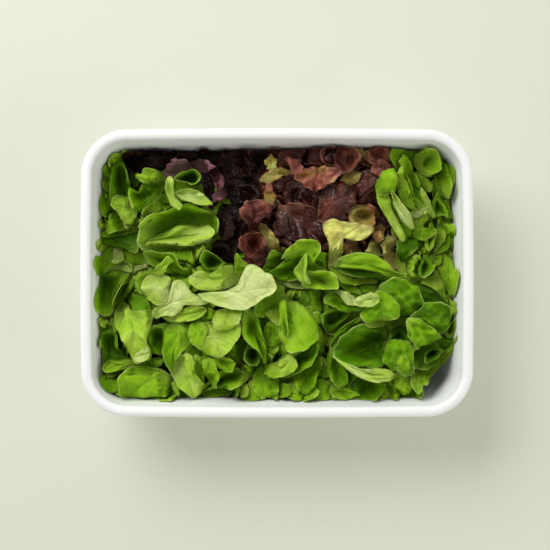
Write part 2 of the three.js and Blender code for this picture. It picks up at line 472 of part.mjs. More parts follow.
// Leaves along the right side.
const RIGHT = [
  [4, [[109, 77, 4], [114, 71, 5], [120, 63, 5], [126, 54, 4], [130, 45, 2], [126, 44, 1], [119, 51, 1],
    [113, 62, 1], [109, 71, 2]]],
  [5, [[109, 99, 4], [101, 95, 4], [96, 87, 4], [95, 79, 2], [100, 75, -1], [107, 76, -2], [113, 80, -1],
    [114, 92, 2]]],
  [6, [[97, 79, 2], [97, 67, 3], [103, 56, 3], [110, 44, 3], [118, 33, 1], [121, 38, -1], [116, 50, -3],
    [110, 62, -4], [107, 74, -3], [102, 79, 0]]],
  [-6, [[128, 48, -1], [126, 36, -2], [118, 33, -2], [112, 48, -5], [106, 62, -6], [107, 74, -4],
    [116, 64, -2]]],
  [3, [[119, 100, 4], [115, 93, 4], [116, 82, 4], [119, 72, 4], [125, 65, 3], [134, 59, 2], [132, 67, -1],
    [128, 78, -3], [123, 89, 0]]],
  [-7, [[123, 112, 3], [118, 106, 4], [121, 99, 4], [126, 88, 4], [129, 76, 4], [134, 66, 3], [141, 62, 3],
    [147, 63, 1], [145, 72, -3], [138, 82, -5], [133, 95, -5], [129, 106, -1]]],
  [-10, [[152, 116, 4], [144, 117, 4], [137, 115, 4], [133, 109, 4], [136, 102, 4], [142, 96, 4],
    [148, 94, 4], [154, 98, 4], [155, 108, 4]]],
  [1, [[155, 111, 3], [161, 106, 4], [164, 95, 4], [165, 84, 4], [164, 73, 2], [159, 79, -3], [157, 92, -3],
    [154, 102, 0]]],
  [0, [[113, 123, 2], [109, 114, 3], [111, 106, 3], [116, 98, 1], [120, 107, -3], [125, 114, -3],
    [122, 122, 0]]],
  [-1, [[125, 121, -1], [135, 121, 0], [141, 118, 0], [134, 107, -2], [131, 97, -4], [124, 106, -3]]],
  [-7, [[155, 75, 4], [151, 70, 3], [150, 58, 2], [154, 54, 0], [159, 56, 0], [163, 55, 2], [161, 65, 3],
    [158, 71, 4]]],
  [0, [[128, 50, 3], [134, 46, 4], [142, 43, 4], [150, 41, 2], [148, 35, 0], [140, 32, -2], [133, 34, -2],
    [128, 41, -1]]],
  [-5, [[148, 48, 2], [153, 41, 2], [151, 30, 2], [146, 21, 1], [142, 30, 2], [145, 40, 2]]],
  [-3, [[117, 31, 0], [127, 32, 1], [140, 31, 1], [136, 24, -3], [129, 19, -4], [122, 12, -5],
    [117, 19, -3]]],
  [3, [[116, 24, 3], [121, 18, 4], [124, 10, 4], [124, 0, 3], [122, -6, 1], [117, -4, 0], [116, 6, 0],
    [115, 16, 1]]],
  [-6, [[143, 17, 2], [138, 10, 2], [136, 2, 2], [138, -4, 1], [144, -2, 1], [149, 4, 2], [149, 12, 2]]],
  [1, [[159, 18, 2], [165, 14, 3], [170, 6, 3], [171, -6, 3], [168, -22, 2], [162, -12, -2], [158, 0, -3],
    [155, 9, -2]]],
  [3, [[154, 1, 3], [149, -4, 3], [139, -9, 1], [147, -13, 2], [155, -19, 1], [164, -27, 1], [161, -15, 1],
    [158, -6, 2]]],
  [-3, [[129, -11, -1], [140, -9, -1], [148, -14, -2], [156, -20, -2], [164, -28, -3], [160, -31, -4],
    [145, -31, -5], [136, -26, -5]]],
];
// Bronze leaves.
const BRONZE = [
  [4, [[36, 80, 5], [27, 85, 4], [18, 92, 3], [25, 96, 3], [33, 99, 3], [42, 101, 3], [51, 100, 4],
    [56, 96, 4], [53, 89, 5], [46, 84, 5]]],
  [2, [[52, 8, 3], [51, 18, 4], [51, 27, 4], [48, 36, 4], [47, 44, 4], [54, 49, 5], [65, 47, 5],
    [76, 46, 5], [87, 41, 4], [81, 33, 3], [72, 31, 1], [64, 33, -1], [61, 29, 1], [63, 22, 2],
    [60, 15, 3]]],
  [5, [[72, 78, 3], [64, 84, 3], [55, 84, 3], [46, 78, 3], [43, 66, 2], [42, 52, 0], [51, 50, -1],
    [60, 56, -1], [69, 63, 0], [74, 70, 2]]],
  [-7, [[96, 54, 4], [90, 46, 4], [82, 44, 5], [74, 45, 5], [70, 52, 5], [71, 60, 4], [79, 64, 3],
    [89, 64, 2], [96, 60, 3]]],
  [-4, [[-22, 15, 3], [-14, 18, 4], [-11, 26, 3], [-15, 34, 1], [-23, 37, 1], [-31, 34, 3], [-34, 26, 4],
    [-30, 18, 4]]],
  [3, [[-8, 64, 4], [-20, 67, 3], [-31, 63, 4], [-33, 54, 4], [-27, 48, 3], [-25, 40, 2], [-20, 34, 1],
    [-18, 44, 0], [-14, 53, -1], [-8, 57, 1]]],
  [2, [[1, 24, 2], [-8, 26, 2], [-13, 35, 1], [-18, 45, 1], [-12, 46, 3], [-5, 38, 4], [0, 31, 4]]],
  [4, [[-8, 86, 4], [-4, 78, 4], [-2, 70, 3], [-7, 66, 2], [-12, 70, 1], [-11, 79, 3]]],
  [3, [[10, 97, 4], [2, 99, 4], [-7, 97, 3], [-15, 91, 2], [-10, 87, 0], [-2, 89, 1], [5, 93, 3]]],
  [3, [[17, 92, 1], [23, 96, 2], [22, 105, 2], [14, 110, 3], [8, 110, 2], [13, 102, 1]]],
  [1, [[25, 117, 0], [16, 120, 1], [7, 117, 2], [0, 110, 2], [2, 103, 0], [11, 106, -2], [21, 107, -2]]],
  [-4, [[62, 123, 3], [57, 114, 3], [57, 102, 3], [61, 95, 3], [69, 99, 2], [76, 106, 2], [77, 114, 2],
    [71, 120, 2]]],
  [1, [[70, 121, 2], [78, 122, 2], [83, 117, 1], [80, 109, -1], [74, 110, -1]]],
  [1, [[62, 88, 1], [66, 97, 3], [74, 99, 2], [80, 95, 0], [75, 87, 0], [68, 85, 0]]],
  [2, [[92, 102, 3], [97, 107, 4], [105, 106, 4], [114, 99, 2], [105, 96, 0], [96, 93, 0]]],
  [-3, [[88, 120, 1], [100, 122, 1], [108, 117, 1], [106, 107, -1], [94, 106, -2], [86, 111, 0]]],
  [-2, [[40, 30, 0], [26, 31, -1], [10, 34, 0], [2, 43, 0], [2, 56, 0], [12, 63, 1], [28, 62, 1],
    [41, 56, 0], [45, 42, 0]]],
  [-3, [[30, 82, 1], [38, 78, 2], [41, 68, 2], [34, 62, 0], [26, 68, -2], [24, 77, -1]]],
  [-3, [[22, 87, 1], [12, 85, 1], [8, 74, 1], [14, 64, 0], [24, 64, -2], [25, 77, -1]]],
  [1, [[103, 45, 2], [97, 46, 2], [92, 40, 1], [94, 31, -1], [101, 33, 0]]],
  [1, [[103, 18, 1], [101, 27, 2], [106, 34, 3], [113, 35, 3], [115, 29, 2], [110, 23, 0]]],
  [0, [[107, 4, 1], [104, 12, 2], [108, 19, 2], [115, 18, 2], [117, 10, 1], [114, 3, 0]]],
  [0, [[84, 17, 1], [88, 26, 2], [93, 32, 2], [99, 27, 1], [98, 16, 0], [91, 14, -1]]],
  [-2, [[68, 18, 0], [63, 26, 1], [69, 31, 1], [77, 28, 1], [79, 19, -1]]],
];
// Dark red leaves.
const DARK_RED = [
  [2, [[-110, 94, 3], [-106, 103, 4], [-98, 108, 3], [-88, 107, 2], [-84, 100, 1], [-87, 94, 1],
    [-96, 91, 2], [-104, 88, 2]]],
  [2, [[-62, 102, 3], [-68, 108, 3], [-76, 110, 2], [-83, 106, 1], [-80, 99, 0], [-71, 98, 1]]],
  [3, [[-55, 80, 2], [-61, 88, 3], [-65, 98, 4], [-61, 104, 3], [-56, 98, 1], [-51, 88, 1]]],
  [3, [[-62, 72, 3], [-60, 78, 4], [-51, 82, 4], [-48, 77, 2], [-53, 71, 1], [-58, 69, 1]]],
  [-3, [[-25, 98, 2], [-27, 112, 2], [-36, 118, 1], [-47, 117, 2], [-50, 106, 2], [-43, 96, 3],
    [-33, 95, 3]]],
  [-5, [[-19, 74, 2], [-22, 88, 3], [-33, 93, 3], [-43, 90, 2], [-47, 78, 2], [-40, 70, 2], [-28, 68, 2]]],
  [2, [[-44, 56, 3], [-52, 54, 2], [-55, 44, 1], [-51, 34, 0], [-43, 36, 1], [-41, 46, 2]]],
  [-4, [[-30, 62, 2], [-41, 66, 2], [-52, 62, 2], [-58, 54, 1], [-54, 48, 1], [-40, 50, 1], [-31, 54, 1]]],
  [-4, [[-36, 30, 1], [-40, 40, 2], [-50, 32, 1], [-58, 30, 2], [-60, 20, 1], [-52, 13, 1], [-42, 16, 1]]],
  [0, [[-82, 119, 1], [-92, 120, 1], [-97, 114, 1], [-93, 108, 0], [-84, 109, 0], [-79, 113, 1]]],
  [-1, [[-96, 114, 0], [-108, 113, 1], [-119, 112, 0], [-126, 109, 0], [-120, 103, -1], [-108, 104, -1],
    [-98, 107, -1]]],
  [-1, [[-130, 109, 1], [-140, 109, 0], [-146, 103, 0], [-144, 96, -1], [-135, 96, 0], [-127, 100, 1]]],
  [-2, [[-60, 115, 0], [-70, 114, 0], [-78, 113, 0], [-76, 108, -1], [-66, 108, 0], [-58, 108, 0]]],
  [-3, [[-20, 116, 0], [-26, 108, 1], [-24, 100, 1], [-16, 98, 0], [-12, 106, 0], [-13, 114, 0]]],
  [-3, [[-66, 92, 0], [-73, 92, 0], [-74, 80, 0], [-68, 68, 0], [-62, 66, 0], [-62, 80, -1]]],
];

// The area and the centre of the plan of a margin.
function planOf(margin) {
  let [area, x, y] = [0, 0, 0];
  margin.forEach(([ax, ay], i) => {
    const [bx, by] = margin[(i + 1) % margin.length];
    const part = (ax * by - bx * ay) / 2;
    area += part;
    x += (part * (ax + bx)) / 3;
    y += (part * (ay + by)) / 3;
  });
  return { area, x: x / area, y: y / area };
}

// The middle surface of a leaf. In plan it runs straight from the middle to the margin. Its height is
// middle + (margin - middle) r^2 (1 + 0.3 (1 - r^6)): flat in the middle, and flatter again near the
// margin, which lies at r = 1.
function leafSurface([middle, rowMargin], hold) {
  const plan = planOf(rowMargin);
  const margin = plan.area > 0 ? rowMargin : [...rowMargin].reverse();
  const [mx, my, sink] = Array.isArray(middle) ? middle : [plan.x, plan.y, middle];
  const rings = Math.abs(plan.area) >= WIDE ? [MID_RING, 1] : [1];
  const spokes = margin.length;
  const pointAt = (r, edge) => {
    const [x, y] = [mx + (edge[0] - mx) * r, my + (edge[1] - my) * r];
    const height = sink + (edge[2] - sink) * r * r * (1 + 0.3 * (1 - r ** 6));
    return new THREE.Vector3(x, y, heapTop(x, y) + Math.max(RELIEF * height - DIP, -DEEPEST));
  };
  const points = [pointAt(0, margin[0]), ...rings.flatMap((r) => margin.map((edge) => pointAt(r, edge)))];
  for (const point of points) {
    hold(point);
    held(point, wallDistance(point.x, point.y, Math.min(point.z, CEILING)), WALL_SOFT);
    slideUnder(point);
  }
  const faces = [];
  const at = (ring, spoke) => 1 + ring * spokes + (spoke % spokes);
  for (let spoke = 0; spoke < spokes; spoke++) {
    faces.push(0, at(0, spoke), at(0, spoke + 1));
    for (let ring = 1; ring < rings.length; ring++) {
      faces.push(at(ring - 1, spoke), at(ring, spoke), at(ring, spoke + 1));
      faces.push(at(ring - 1, spoke), at(ring, spoke + 1), at(ring - 1, spoke + 1));
    }
  }
  const rim = margin.map((_, spoke) => at(rings.length - 1, spoke));
  return { points, faces, rim };
}

// The leaf as a closed solid: its surface moved half a thickness to each side, with both sides split
// into triangles alike, and a band round the margin. Below its middle a foot reaches into the core.
function leafSolid({ points, faces, rim }) {
  const surface = new THREE.BufferGeometry().setFromPoints(points);
  surface.setIndex(faces);
  surface.computeVertexNormals();
  const normals = surface.attributes.normal;
  const count = points.length;
  const sides = [1, -1].map((side) => points.map((point, i) => {
    const normal = new THREE.Vector3().fromBufferAttribute(normals, i);
    return point.clone().addScaledVector(normal, (side * LEAF) / 2);
  }));
  const foot = sides[1][0];
  foot.z = Math.min(foot.z, coreTop(foot.x, foot.y) - ROOT);
  const closed = [...faces];
  for (let i = 0; i < faces.length; i += 3) {
    closed.push(faces[i] + count, faces[i + 2] + count, faces[i + 1] + count);
  }
  rim.forEach((a, i) => {
    const b = rim[(i + 1) % rim.length];
    closed.push(a, a + count, b + count, a, b + count, b);
  });
  return solidOf({ vertices: sides.flat().flatMap((point) => point.toArray()), faces: closed });
}

// ---- heaps -----------------------------------------------------------------------------------------
// The room inside the tub up to a height, GAP clear of it.
function roomProfile(top) {
  const inset = (z) => innerInset(z) + GAP;
  const foot = FLOOR + GAP;
  return [
    ...round(inset(foot) + WELL_FILLET, foot + WELL_FILLET, WELL_FILLET, -90, 0, 4),
    [inset(top), top],
  ];
}

// The top of the core: CORE_DEPTH under the heap's top, lower under a leaf that lies lower, and falling
// away in the bare corner.
function coreTop(x, y) {
  const { radius, slope, height } = BARE_CORNER;
  const near = Math.ceil(CORE_CELL / 2 / CELL);
  const top = Math.min(heapTop(x, y) - CORE_DEPTH, ceilingAt(x, y, near) - LEAF);
  const away = Math.hypot(x - BARE_CORNER.x, y - BARE_CORNER.y);
  return height + (top - height) * THREE.MathUtils.clamp((away - radius) / slope, 0, 1);
}

// The core before it is cut to the room: a sheet of cells over the plan at coreTop, and straight sides
// down to the level of the underside.
function coreSolid() {
  const across = Math.ceil(LENGTH / CORE_CELL);
  const deep = Math.ceil(WIDTH / CORE_CELL);
  const at = (i, j) => i + (across + 1) * j;
  const vertices = [];
  for (let j = 0; j <= deep; j++) {
    for (let i = 0; i <= across; i++) {
      const [x, y] = [(i / across - 0.5) * LENGTH, (j / deep - 0.5) * WIDTH];
      vertices.push(x, y, coreTop(x, y));
    }
  }
  const faces = [];
  for (let j = 0; j < deep; j++) {
    for (let i = 0; i < across; i++) {
      const [a, b, c, d] = [at(i, j), at(i + 1, j), at(i + 1, j + 1), at(i, j + 1)];
      if ((i + j) % 2) faces.push(a, b, c, a, c, d);
      else faces.push(a, b, d, b, c, d);
    }
  }
  const border = [
    ...Array.from({ length: across }, (_, i) => at(i, 0)),
    ...Array.from({ length: deep }, (_, j) => at(across, j)),
    ...Array.from({ length: across }, (_, i) => at(across - i, deep)),
    ...Array.from({ length: deep }, (_, j) => at(0, deep - j)),
  ];
  const under = vertices.length / 3;
  for (const corner of border) vertices.push(vertices[3 * corner], vertices[3 * corner + 1], 0);
  const middle = vertices.length / 3;
  vertices.push(0, 0, 0);
  border.forEach((corner, i) => {
    const next = (i + 1) % border.length;
    faces.push(corner, under + i, under + next, corner, under + next, border[next]);
    faces.push(middle, under + next, under + i);
  });
  return solidOf({ vertices, faces });
}

// A patch as a prism through the whole height of the tub, moved out by grow (in if negative).
function patchPrism(patch, grow) {
  const corners = patch.map(([x, y]) => new THREE.Vector2(x, y));
  const moved = corners.map((corner, i) => {
    const before = corner.clone().sub(corners[(i + corners.length - 1) % corners.length]).normalize();
    const after = corners[(i + 1) % corners.length].clone().sub(corner).normalize();
    const out = new THREE.Vector2(before.y + after.y, -before.x - after.x).normalize();
    const share = out.dot(new THREE.Vector2(after.y, -after.x));
    return corner.clone().addScaledVector(out, grow / share);
  });
  const settings = { depth: HEIGHT, bevelEnabled: false };
  const geometry = new THREE.ExtrudeGeometry(new THREE.Shape(moved), settings);
  geometry.deleteAttribute("normal");
  geometry.deleteAttribute("uv");
  const merged = mergeVertices(geometry, 1e-3);
  return solidOf({ vertices: [...merged.attributes.position.array], faces: [...merged.index.array] });
}

// Every leaf that these solids show, from the top down, with its kind.
const SHOWN = [
  ...PALE, ...MIDDLE, ...BUTTERHEAD, ...BACK_LEFT, ...SMALL_HEAD, ...FRONT_LEFT, ...RIGHT,
].map((row) => ["green", row]);
SHOWN.push(...BRONZE.map((row) => ["bronze", row]), ...DARK_RED.map((row) => ["dark", row]));
const leaves = SHOWN.map(([kind, row]) => {
  const surface = leafSurface(row, KINDS[kind]);
  mark(surface);
  return { kind, surface };
});
const core = coreSolid();

// The largest body of a solid. Loose scraps and sealed hollows are bodies of their own, and go.
const largest = (solid) => solid.decompose()
  .reduce((best, body) => (body.volume() > best.volume() ? body : best));

// The same solid with the points that nearly coincide made one, which can shut a hollow off.
function welded(solid) {
  const { vertProperties, triVerts } = solid.getMesh();
  return solidOf({ vertices: vertProperties, faces: [...triVerts] });
}

// Fuses the leaves of a kind on its part of the core, and cuts off what sticks out of the room.
function heap(wanted, cut) {
  const room = cut(solidOf(loft(roomProfile(CEILING))));
  let fused = core;
  for (const { kind, surface } of leaves) {
    if (kind === wanted) fused = fused.add(leafSolid(surface));
  }
  return largest(welded(largest(fused.intersect(room))));
}

const material = (color, roughness) => new THREE.MeshStandardMaterial({ color, roughness, metalness: 0 });

const salad = new THREE.Group();
salad.add(
  meshOf("box", solidOf(loft(tubProfile())), material(0xf4f5ee, 0.45)),
  meshOf(
    "green_leaves",
    heap("green", (solid) => solid.subtract(patchPrism(BOTH_PATCHES, GAP / 2))),
    material(0x6f9a1e, 0.55),
  ),
  meshOf(
    "dark_red_leaves",
    heap("dark", (solid) => solid.intersect(patchPrism(DARK_RED_PATCH, -GAP / 2))),
    material(0x331a1f, 0.45),
  ),
  meshOf(
    "bronze_leaves",
    heap("bronze", (solid) => solid.intersect(patchPrism(BRONZE_PATCH, -GAP / 2))),
    material(0x7a3a2c, 0.45),
  ),
);

export default salad;
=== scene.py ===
# %% [markdown]
# # A white tub of mixed lettuce
#
# The real object is an open plastic tub with rounded corners and a thick half-round rim. It is filled
# almost to the rim with three kinds of lettuce: green leaves on the left, in front and on the right,
# and dark red and bronze leaves at the back. This lesson makes the tub as one profile carried round a
# rounded rectangle. The leaves that show are drawn one by one, from a few points of each margin. Those
# below and between them come from a formula for a thin, curved and ruffled blade.

# %% Load the model as packed
from collections import namedtuple
import bpy
import numpy as np
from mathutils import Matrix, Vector


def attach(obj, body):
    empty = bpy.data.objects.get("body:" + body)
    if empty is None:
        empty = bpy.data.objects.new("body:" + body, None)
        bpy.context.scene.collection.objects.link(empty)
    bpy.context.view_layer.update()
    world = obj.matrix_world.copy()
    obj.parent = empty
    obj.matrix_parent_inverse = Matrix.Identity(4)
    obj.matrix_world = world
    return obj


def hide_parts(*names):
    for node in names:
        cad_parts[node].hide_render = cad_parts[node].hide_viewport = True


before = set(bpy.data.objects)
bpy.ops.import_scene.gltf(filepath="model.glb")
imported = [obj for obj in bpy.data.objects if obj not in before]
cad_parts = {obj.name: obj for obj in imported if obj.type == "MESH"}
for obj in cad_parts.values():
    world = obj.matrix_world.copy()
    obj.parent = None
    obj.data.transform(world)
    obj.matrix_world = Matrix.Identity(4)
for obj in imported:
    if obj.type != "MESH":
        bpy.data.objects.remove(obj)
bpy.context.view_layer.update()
MM = 0.001
TURN = 2 * np.pi
print("nodes:", sorted(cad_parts))

# %% [markdown]
# ## Getting a surface into Blender
#
# All shapes here are numpy arrays. A surface is a list of points and a list of triangles. The helper
# below puts both into a mesh with foreach_set, which is quick even for a hundred thousand triangles.
# It also stores a UV map, and numbers for each point that a material can read later.

# %% Mesh helper
def put_mesh(name, points, triangles, uv=None, numbers=None):
    """A smooth mesh object from points in millimetres (n, 3) and triangles (m, 3), faces outwards.

    uv is one pair for each point, and numbers maps an attribute's name to one value for each point."""
    mesh = bpy.data.meshes.new(name)
    mesh.vertices.add(len(points))
    mesh.vertices.foreach_set("co", (points * MM).astype(np.float32).ravel())
    mesh.loops.add(triangles.size)
    mesh.loops.foreach_set("vertex_index", triangles.astype(np.int32).ravel())
    mesh.polygons.add(len(triangles))
    mesh.polygons.foreach_set("loop_start", np.arange(0, triangles.size, 3, dtype=np.int32))
    if uv is not None:
        layer = mesh.uv_layers.new(name="Leaf")
        layer.data.foreach_set("uv", uv[triangles.ravel()].astype(np.float32).ravel())
    for key, values in (numbers or {}).items():
        mesh.attributes.new(key, "FLOAT", "POINT").data.foreach_set("value", values.astype(np.float32))
    mesh.update(calc_edges=True)
    mesh.validate()
    mesh.polygons.foreach_set("use_smooth", np.ones(len(mesh.polygons), bool))
    piece = bpy.data.objects.new(name, mesh)
    bpy.context.scene.collection.objects.link(piece)
    print(name, len(points), "points", len(triangles), "triangles")
    return piece


# %% [markdown]
# ## The tub
#
# A real tub like this is moulded in one piece. Its wall leans outwards by a few degrees, so that it
# comes out of the mould, and ends in a rim that is rolled into a half-round. So the whole tub is one
# profile, drawn from the middle of the underside, out, up, over the rim, and down to the middle of the
# floor. At each point of the profile the outline of the tub is moved in by that much.

# %% The tub's sizes, in millimetres
LENGTH, WIDTH, HEIGHT = 370.0, 272.0, 92.0
BOW = 1.6  # how far each side bulges between its corners
CORNER, LEAST_CORNER = 42.0, 3.0
RIM_WIDTH, LIP, SKIRT = 10.4, 5.2, 5.0
DRAFT = np.tan(np.radians(7.0))
FLOOR, BASE_FILLET, WELL_FILLET = 4.0, 7.0, 11.0
RIM_RADIUS = RIM_WIDTH / 2
RIM_CENTRE = HEIGHT - RIM_RADIUS
HALF = np.array([LENGTH, WIDTH]) / 2 - BOW


def inner_inset(z):
    """How far the inner wall lies inside the outline at height z: the rim and the wall's lean."""
    return RIM_WIDTH + (RIM_CENTRE - z) * DRAFT


def outer_inset(z):
    """The same for the outer wall, which starts under the lip."""
    return LIP + (RIM_CENTRE - z) * DRAFT


# %% Outline and loft
def outlines(insets, corner_steps=16, side_steps=16):
    """One outline for each inset: a rounded rectangle of half size (hx, hy) = HALF - inset and radius
    CORNER - inset, then x (1 + BOW / hx (1 - (y / hy)^2)) and y (1 + BOW / hy (1 - (x / hx)^2)).
    Shape (rows, around, 2)."""
    insets = np.asarray(insets, float)[:, None, None]
    half = HALF - insets
    radius = np.maximum(CORNER - insets, LEAST_CORNER)
    turn = np.linspace(0, np.pi / 2, corner_steps + 1)
    corners = []
    for k, sign in enumerate(([1, 1], [-1, 1], [-1, -1], [1, -1])):
        angle = turn + k * np.pi / 2
        round_part = np.stack([np.cos(angle), np.sin(angle)], -1)[None]
        corners.append(np.array(sign) * (half - radius) + radius * round_part)
    share = np.linspace(0, 1, side_steps + 1)[1:-1][None, :, None]
    rows = []
    for k in range(4):
        start, end = corners[k][:, -1:], corners[(k + 1) % 4][:, :1]
        rows += [corners[k], start + (end - start) * share]
    flat = np.concatenate(rows, axis=1)
    bulge = BOW / half * (1 - (flat / half) ** 2)[..., ::-1]
    return flat * (1 + bulge)


def loft(profile, **steps):
    """Joins the outlines at each (inset, z) of the profile, and closes both ends with a fan to the axis."""
    profile = np.array(profile)
    rings = outlines(profile[:, 0], **steps)
    rows, around = rings.shape[:2]
    z = np.broadcast_to(profile[:, 1][:, None, None], (rows, around, 1))
    points = np.concatenate([rings, z], -1).reshape(-1, 3)
    ends = np.array([[0, 0, profile[0, 1]], [0, 0, profile[-1, 1]]])
    index = np.arange(rows * around).reshape(rows, around)
    low, high = index[:-1], index[1:]
    low_next, high_next = np.roll(low, -1, 1), np.roll(high, -1, 1)
    walls = np.concatenate([
        np.stack([low, low_next, high_next], -1).reshape(-1, 3),
        np.stack([low, high_next, high], -1).reshape(-1, 3),
    ])
    first, last = index[0], index[-1]
    start = np.full(around, rows * around)
    fans = np.concatenate([
        np.stack([start, np.roll(first, -1), first], -1),
        np.stack([start + 1, last, np.roll(last, -1)], -1),
    ])
    return np.concatenate([points, ends]), np.concatenate([walls, fans])


def arc(inset, z, radius, begin, end, steps):
    """Profile rows on a round: inset - radius cos(a), z + radius sin(a), with a in degrees."""
    a = np.radians(np.linspace(begin, end, steps + 1))
    return list(zip(inset - radius * np.cos(a), z + radius * np.sin(a)))


# %% [markdown]
# The profile needs extra rows just beside each change of direction. Smooth shading blends the light
# between two rows, so a long straight wall next to a tight round would otherwise look swollen.

# %% Make the tub
LIP_END = RIM_CENTRE - SKIRT
EDGE = 0.5  # radius of the small rounds under the lip
BESIDE, BESIDE_FLAT = 1.5, 1.0  # how far the extra rows are from a round, on a wall and on a floor
FAN = 60.0  # how far inside the round the fan of a floor begins
FILLET_STEPS, RIM_STEPS = 8, 24
foot = outer_inset(0) + BASE_FILLET
well = inner_inset(FLOOR) + WELL_FILLET
outer_rows = (BASE_FILLET + BESIDE, 40.0, LIP_END - 2 * BESIDE, LIP_END - EDGE)
inner_rows = (RIM_CENTRE - BESIDE, 60.0, 30.0, FLOOR + WELL_FILLET + BESIDE)
profile = (
    [(foot + FAN, 0.0), (foot + BESIDE_FLAT, 0.0)]
    + arc(foot, BASE_FILLET, BASE_FILLET, -90, 0, FILLET_STEPS)
    + [(outer_inset(z), z) for z in outer_rows]
    + [(outer_inset(LIP_END) - EDGE, LIP_END), (LIP / 4 + EDGE, LIP_END), (LIP / 4, LIP_END + EDGE)]
    + arc(RIM_RADIUS, RIM_CENTRE, RIM_RADIUS, 0, 180, RIM_STEPS)
    + [(inner_inset(z), z) for z in inner_rows]
    + arc(well, FLOOR + WELL_FILLET, WELL_FILLET, 0, -90, FILLET_STEPS)
    + [(well + BESIDE_FLAT, FLOOR), (well + FAN, FLOOR)]
)
tub = put_mesh("tub", *loft(profile))

# %% [markdown]
# ## Where a leaf may lie
#
# The leaves press against the wall, and a leaf that meets the wall turns up along it. The same idea as
# in a physics game works here: measure how far a point is from the wall, slow it down as it comes
# near, so that it never crosses, and give part of the lost way back as height.

# %% The wall as a distance, and the top of the heap
GAP = 0.3  # between the leaves and the wall
BACK_CLEAR = 2.0  # the heap stands off the back wall by this much
WALL_SOFT, CLIMB = 1.5, 0.6
CREST, SHOULDER, SLOPE = 77.0, 67.0, 34.0  # the heap's middle, its edge, and how fast one becomes the other
CEILING = 86.0  # no leaf stands higher than this
BACK_DROP = 12.0  # the heap's edge lies lower at the back left, as far as these ranges of y and -x say
DROP_IN_Y, DROP_IN_X = (20, 80), (-60, 0)


def wall_distance(points):
    """Distance outside the inner wall at each point's own height, and the way out. The bow of the sides is
    taken away first, and then the wall is a rounded rectangle: q = |p| - (half - radius),
    distance = |max(q, 0)| + min(max(q), 0) - radius."""
    inset = inner_inset(np.minimum(points[:, 2], RIM_CENTRE)) + GAP
    half = HALF - inset[:, None]
    radius = np.maximum(CORNER - inset, LEAST_CORNER)
    bulge = BOW / half * (1 - np.clip(points[:, :2] / half, -1, 1) ** 2)[:, ::-1]
    shift = np.array([0, BACK_CLEAR / 2])
    place = points[:, :2] / (1 + bulge) + shift
    q = np.abs(place) - (half - shift - radius[:, None])
    out = np.maximum(q, 0)
    corner = np.linalg.norm(out, axis=1)
    distance = corner + np.minimum(q.max(1), 0) - radius
    straight = np.eye(2)[q.argmax(1)]
    way = np.where(corner[:, None] > 0, out / np.maximum(corner, 1e-9)[:, None], straight)
    return distance, way * np.sign(place)


def hold_in(points):
    """Slows each point down near the wall: over = distance + soft becomes soft (1 - exp(-over / soft)),
    and what it loses sideways turns upwards by CLIMB."""
    distance, way = wall_distance(points)
    over = np.maximum(distance + WALL_SOFT, 0)
    back = over - WALL_SOFT * (1 - np.exp(-over / WALL_SOFT))
    points[:, :2] -= way * back[:, None]
    points[:, 2] += CLIMB * back
    return points


def smooth_step(value, low, high):
    """0 below low, 1 above high, and 3 t^2 - 2 t^3 between them."""
    t = np.clip((value - low) / (high - low), 0, 1)
    return t * t * (3 - 2 * t)


def heap_top(x, y):
    """CREST + (edge - CREST) exp(-distance from the wall / SLOPE), where the edge is SHOULDER high, and
    BACK_DROP lower at the back left."""
    at = np.stack([x, y, np.full(np.shape(x), SHOULDER)], -1).reshape(-1, 3)
    distance = np.minimum(wall_distance(at)[0], 0)
    drop = BACK_DROP * smooth_step(at[:, 1], *DROP_IN_Y) * smooth_step(-at[:, 0], *DROP_IN_X)
    return (CREST + (SHOULDER - drop - CREST) * np.exp(distance / SLOPE)).reshape(np.shape(x))


# %% [markdown]
# ## A ceiling for every leaf
#
# A cloth simulation of more than four hundred leaves would take many minutes. Here the heap is built
# from the top down instead, on a map of the lowest leaf at each place. The leaves that lie on top come
# first. Each next leaf slides under them: where it would go through one, it is pressed down until it
# passes below. So the outlines that show stay as they were drawn.

# %% The ceiling map
CELL = 2.0
CELLS = np.array([184, 134])
CLEAR = 0.9  # a leaf passes this far below the one above it
SOFT = 0.8  # over how many millimetres the pressing down sets in
REACH, SLANT = 5, 0.55  # how many cells a leaf carries on past its margin, and how fast it rises there
NEXT_CELLS = [(i, j, 1.0) for i, j in ((0, 1), (2, 1), (1, 0), (1, 2))]
NEXT_CELLS += [(i, j, 1.41) for i, j in ((0, 0), (2, 2), (0, 2), (2, 0))]
lowest = np.full(CELLS, CEILING + 1.0)


def cell_of(points):
    """The column and row of the map that each point lies in."""
    at = np.floor(points[:, :2] / CELL + CELLS / 2).astype(int)
    return tuple(np.clip(at, 0, CELLS - 1).T)


def ceiling_map(reach):
    """The map with every leaf's underside carried outwards past its margin, SLANT higher for each step.
    So a leaf that comes out from under another one rises slowly, and leaves a shaded gap."""
    near = lowest.copy()
    nx, ny = CELLS
    for step in range(reach):
        edge = np.pad(near, 1, mode="edge")
        rise = (0.0 if step == 0 else SLANT) * CELL
        for i, j, far in NEXT_CELLS:
            near = np.minimum(near, edge[i:i + nx, j:j + ny] + rise * far)
    return near


def slide_under(points, top, reach):
    """Presses the points softly below the ceiling: z - soft log(1 + exp((z - ceiling) / soft))."""
    ceiling = np.minimum(ceiling_map(reach)[cell_of(points)] - CLEAR, top)
    points[:, 2] -= SOFT * np.logaddexp(0, (points[:, 2] - ceiling) / SOFT)
    return points


def mark(points, faces):
    """Draws a leaf into the map, at its points and at the middles of its triangles."""
    middles = points[faces].mean(1)
    for some in (points, middles):
        np.minimum.at(lowest, cell_of(some), some[:, 2])


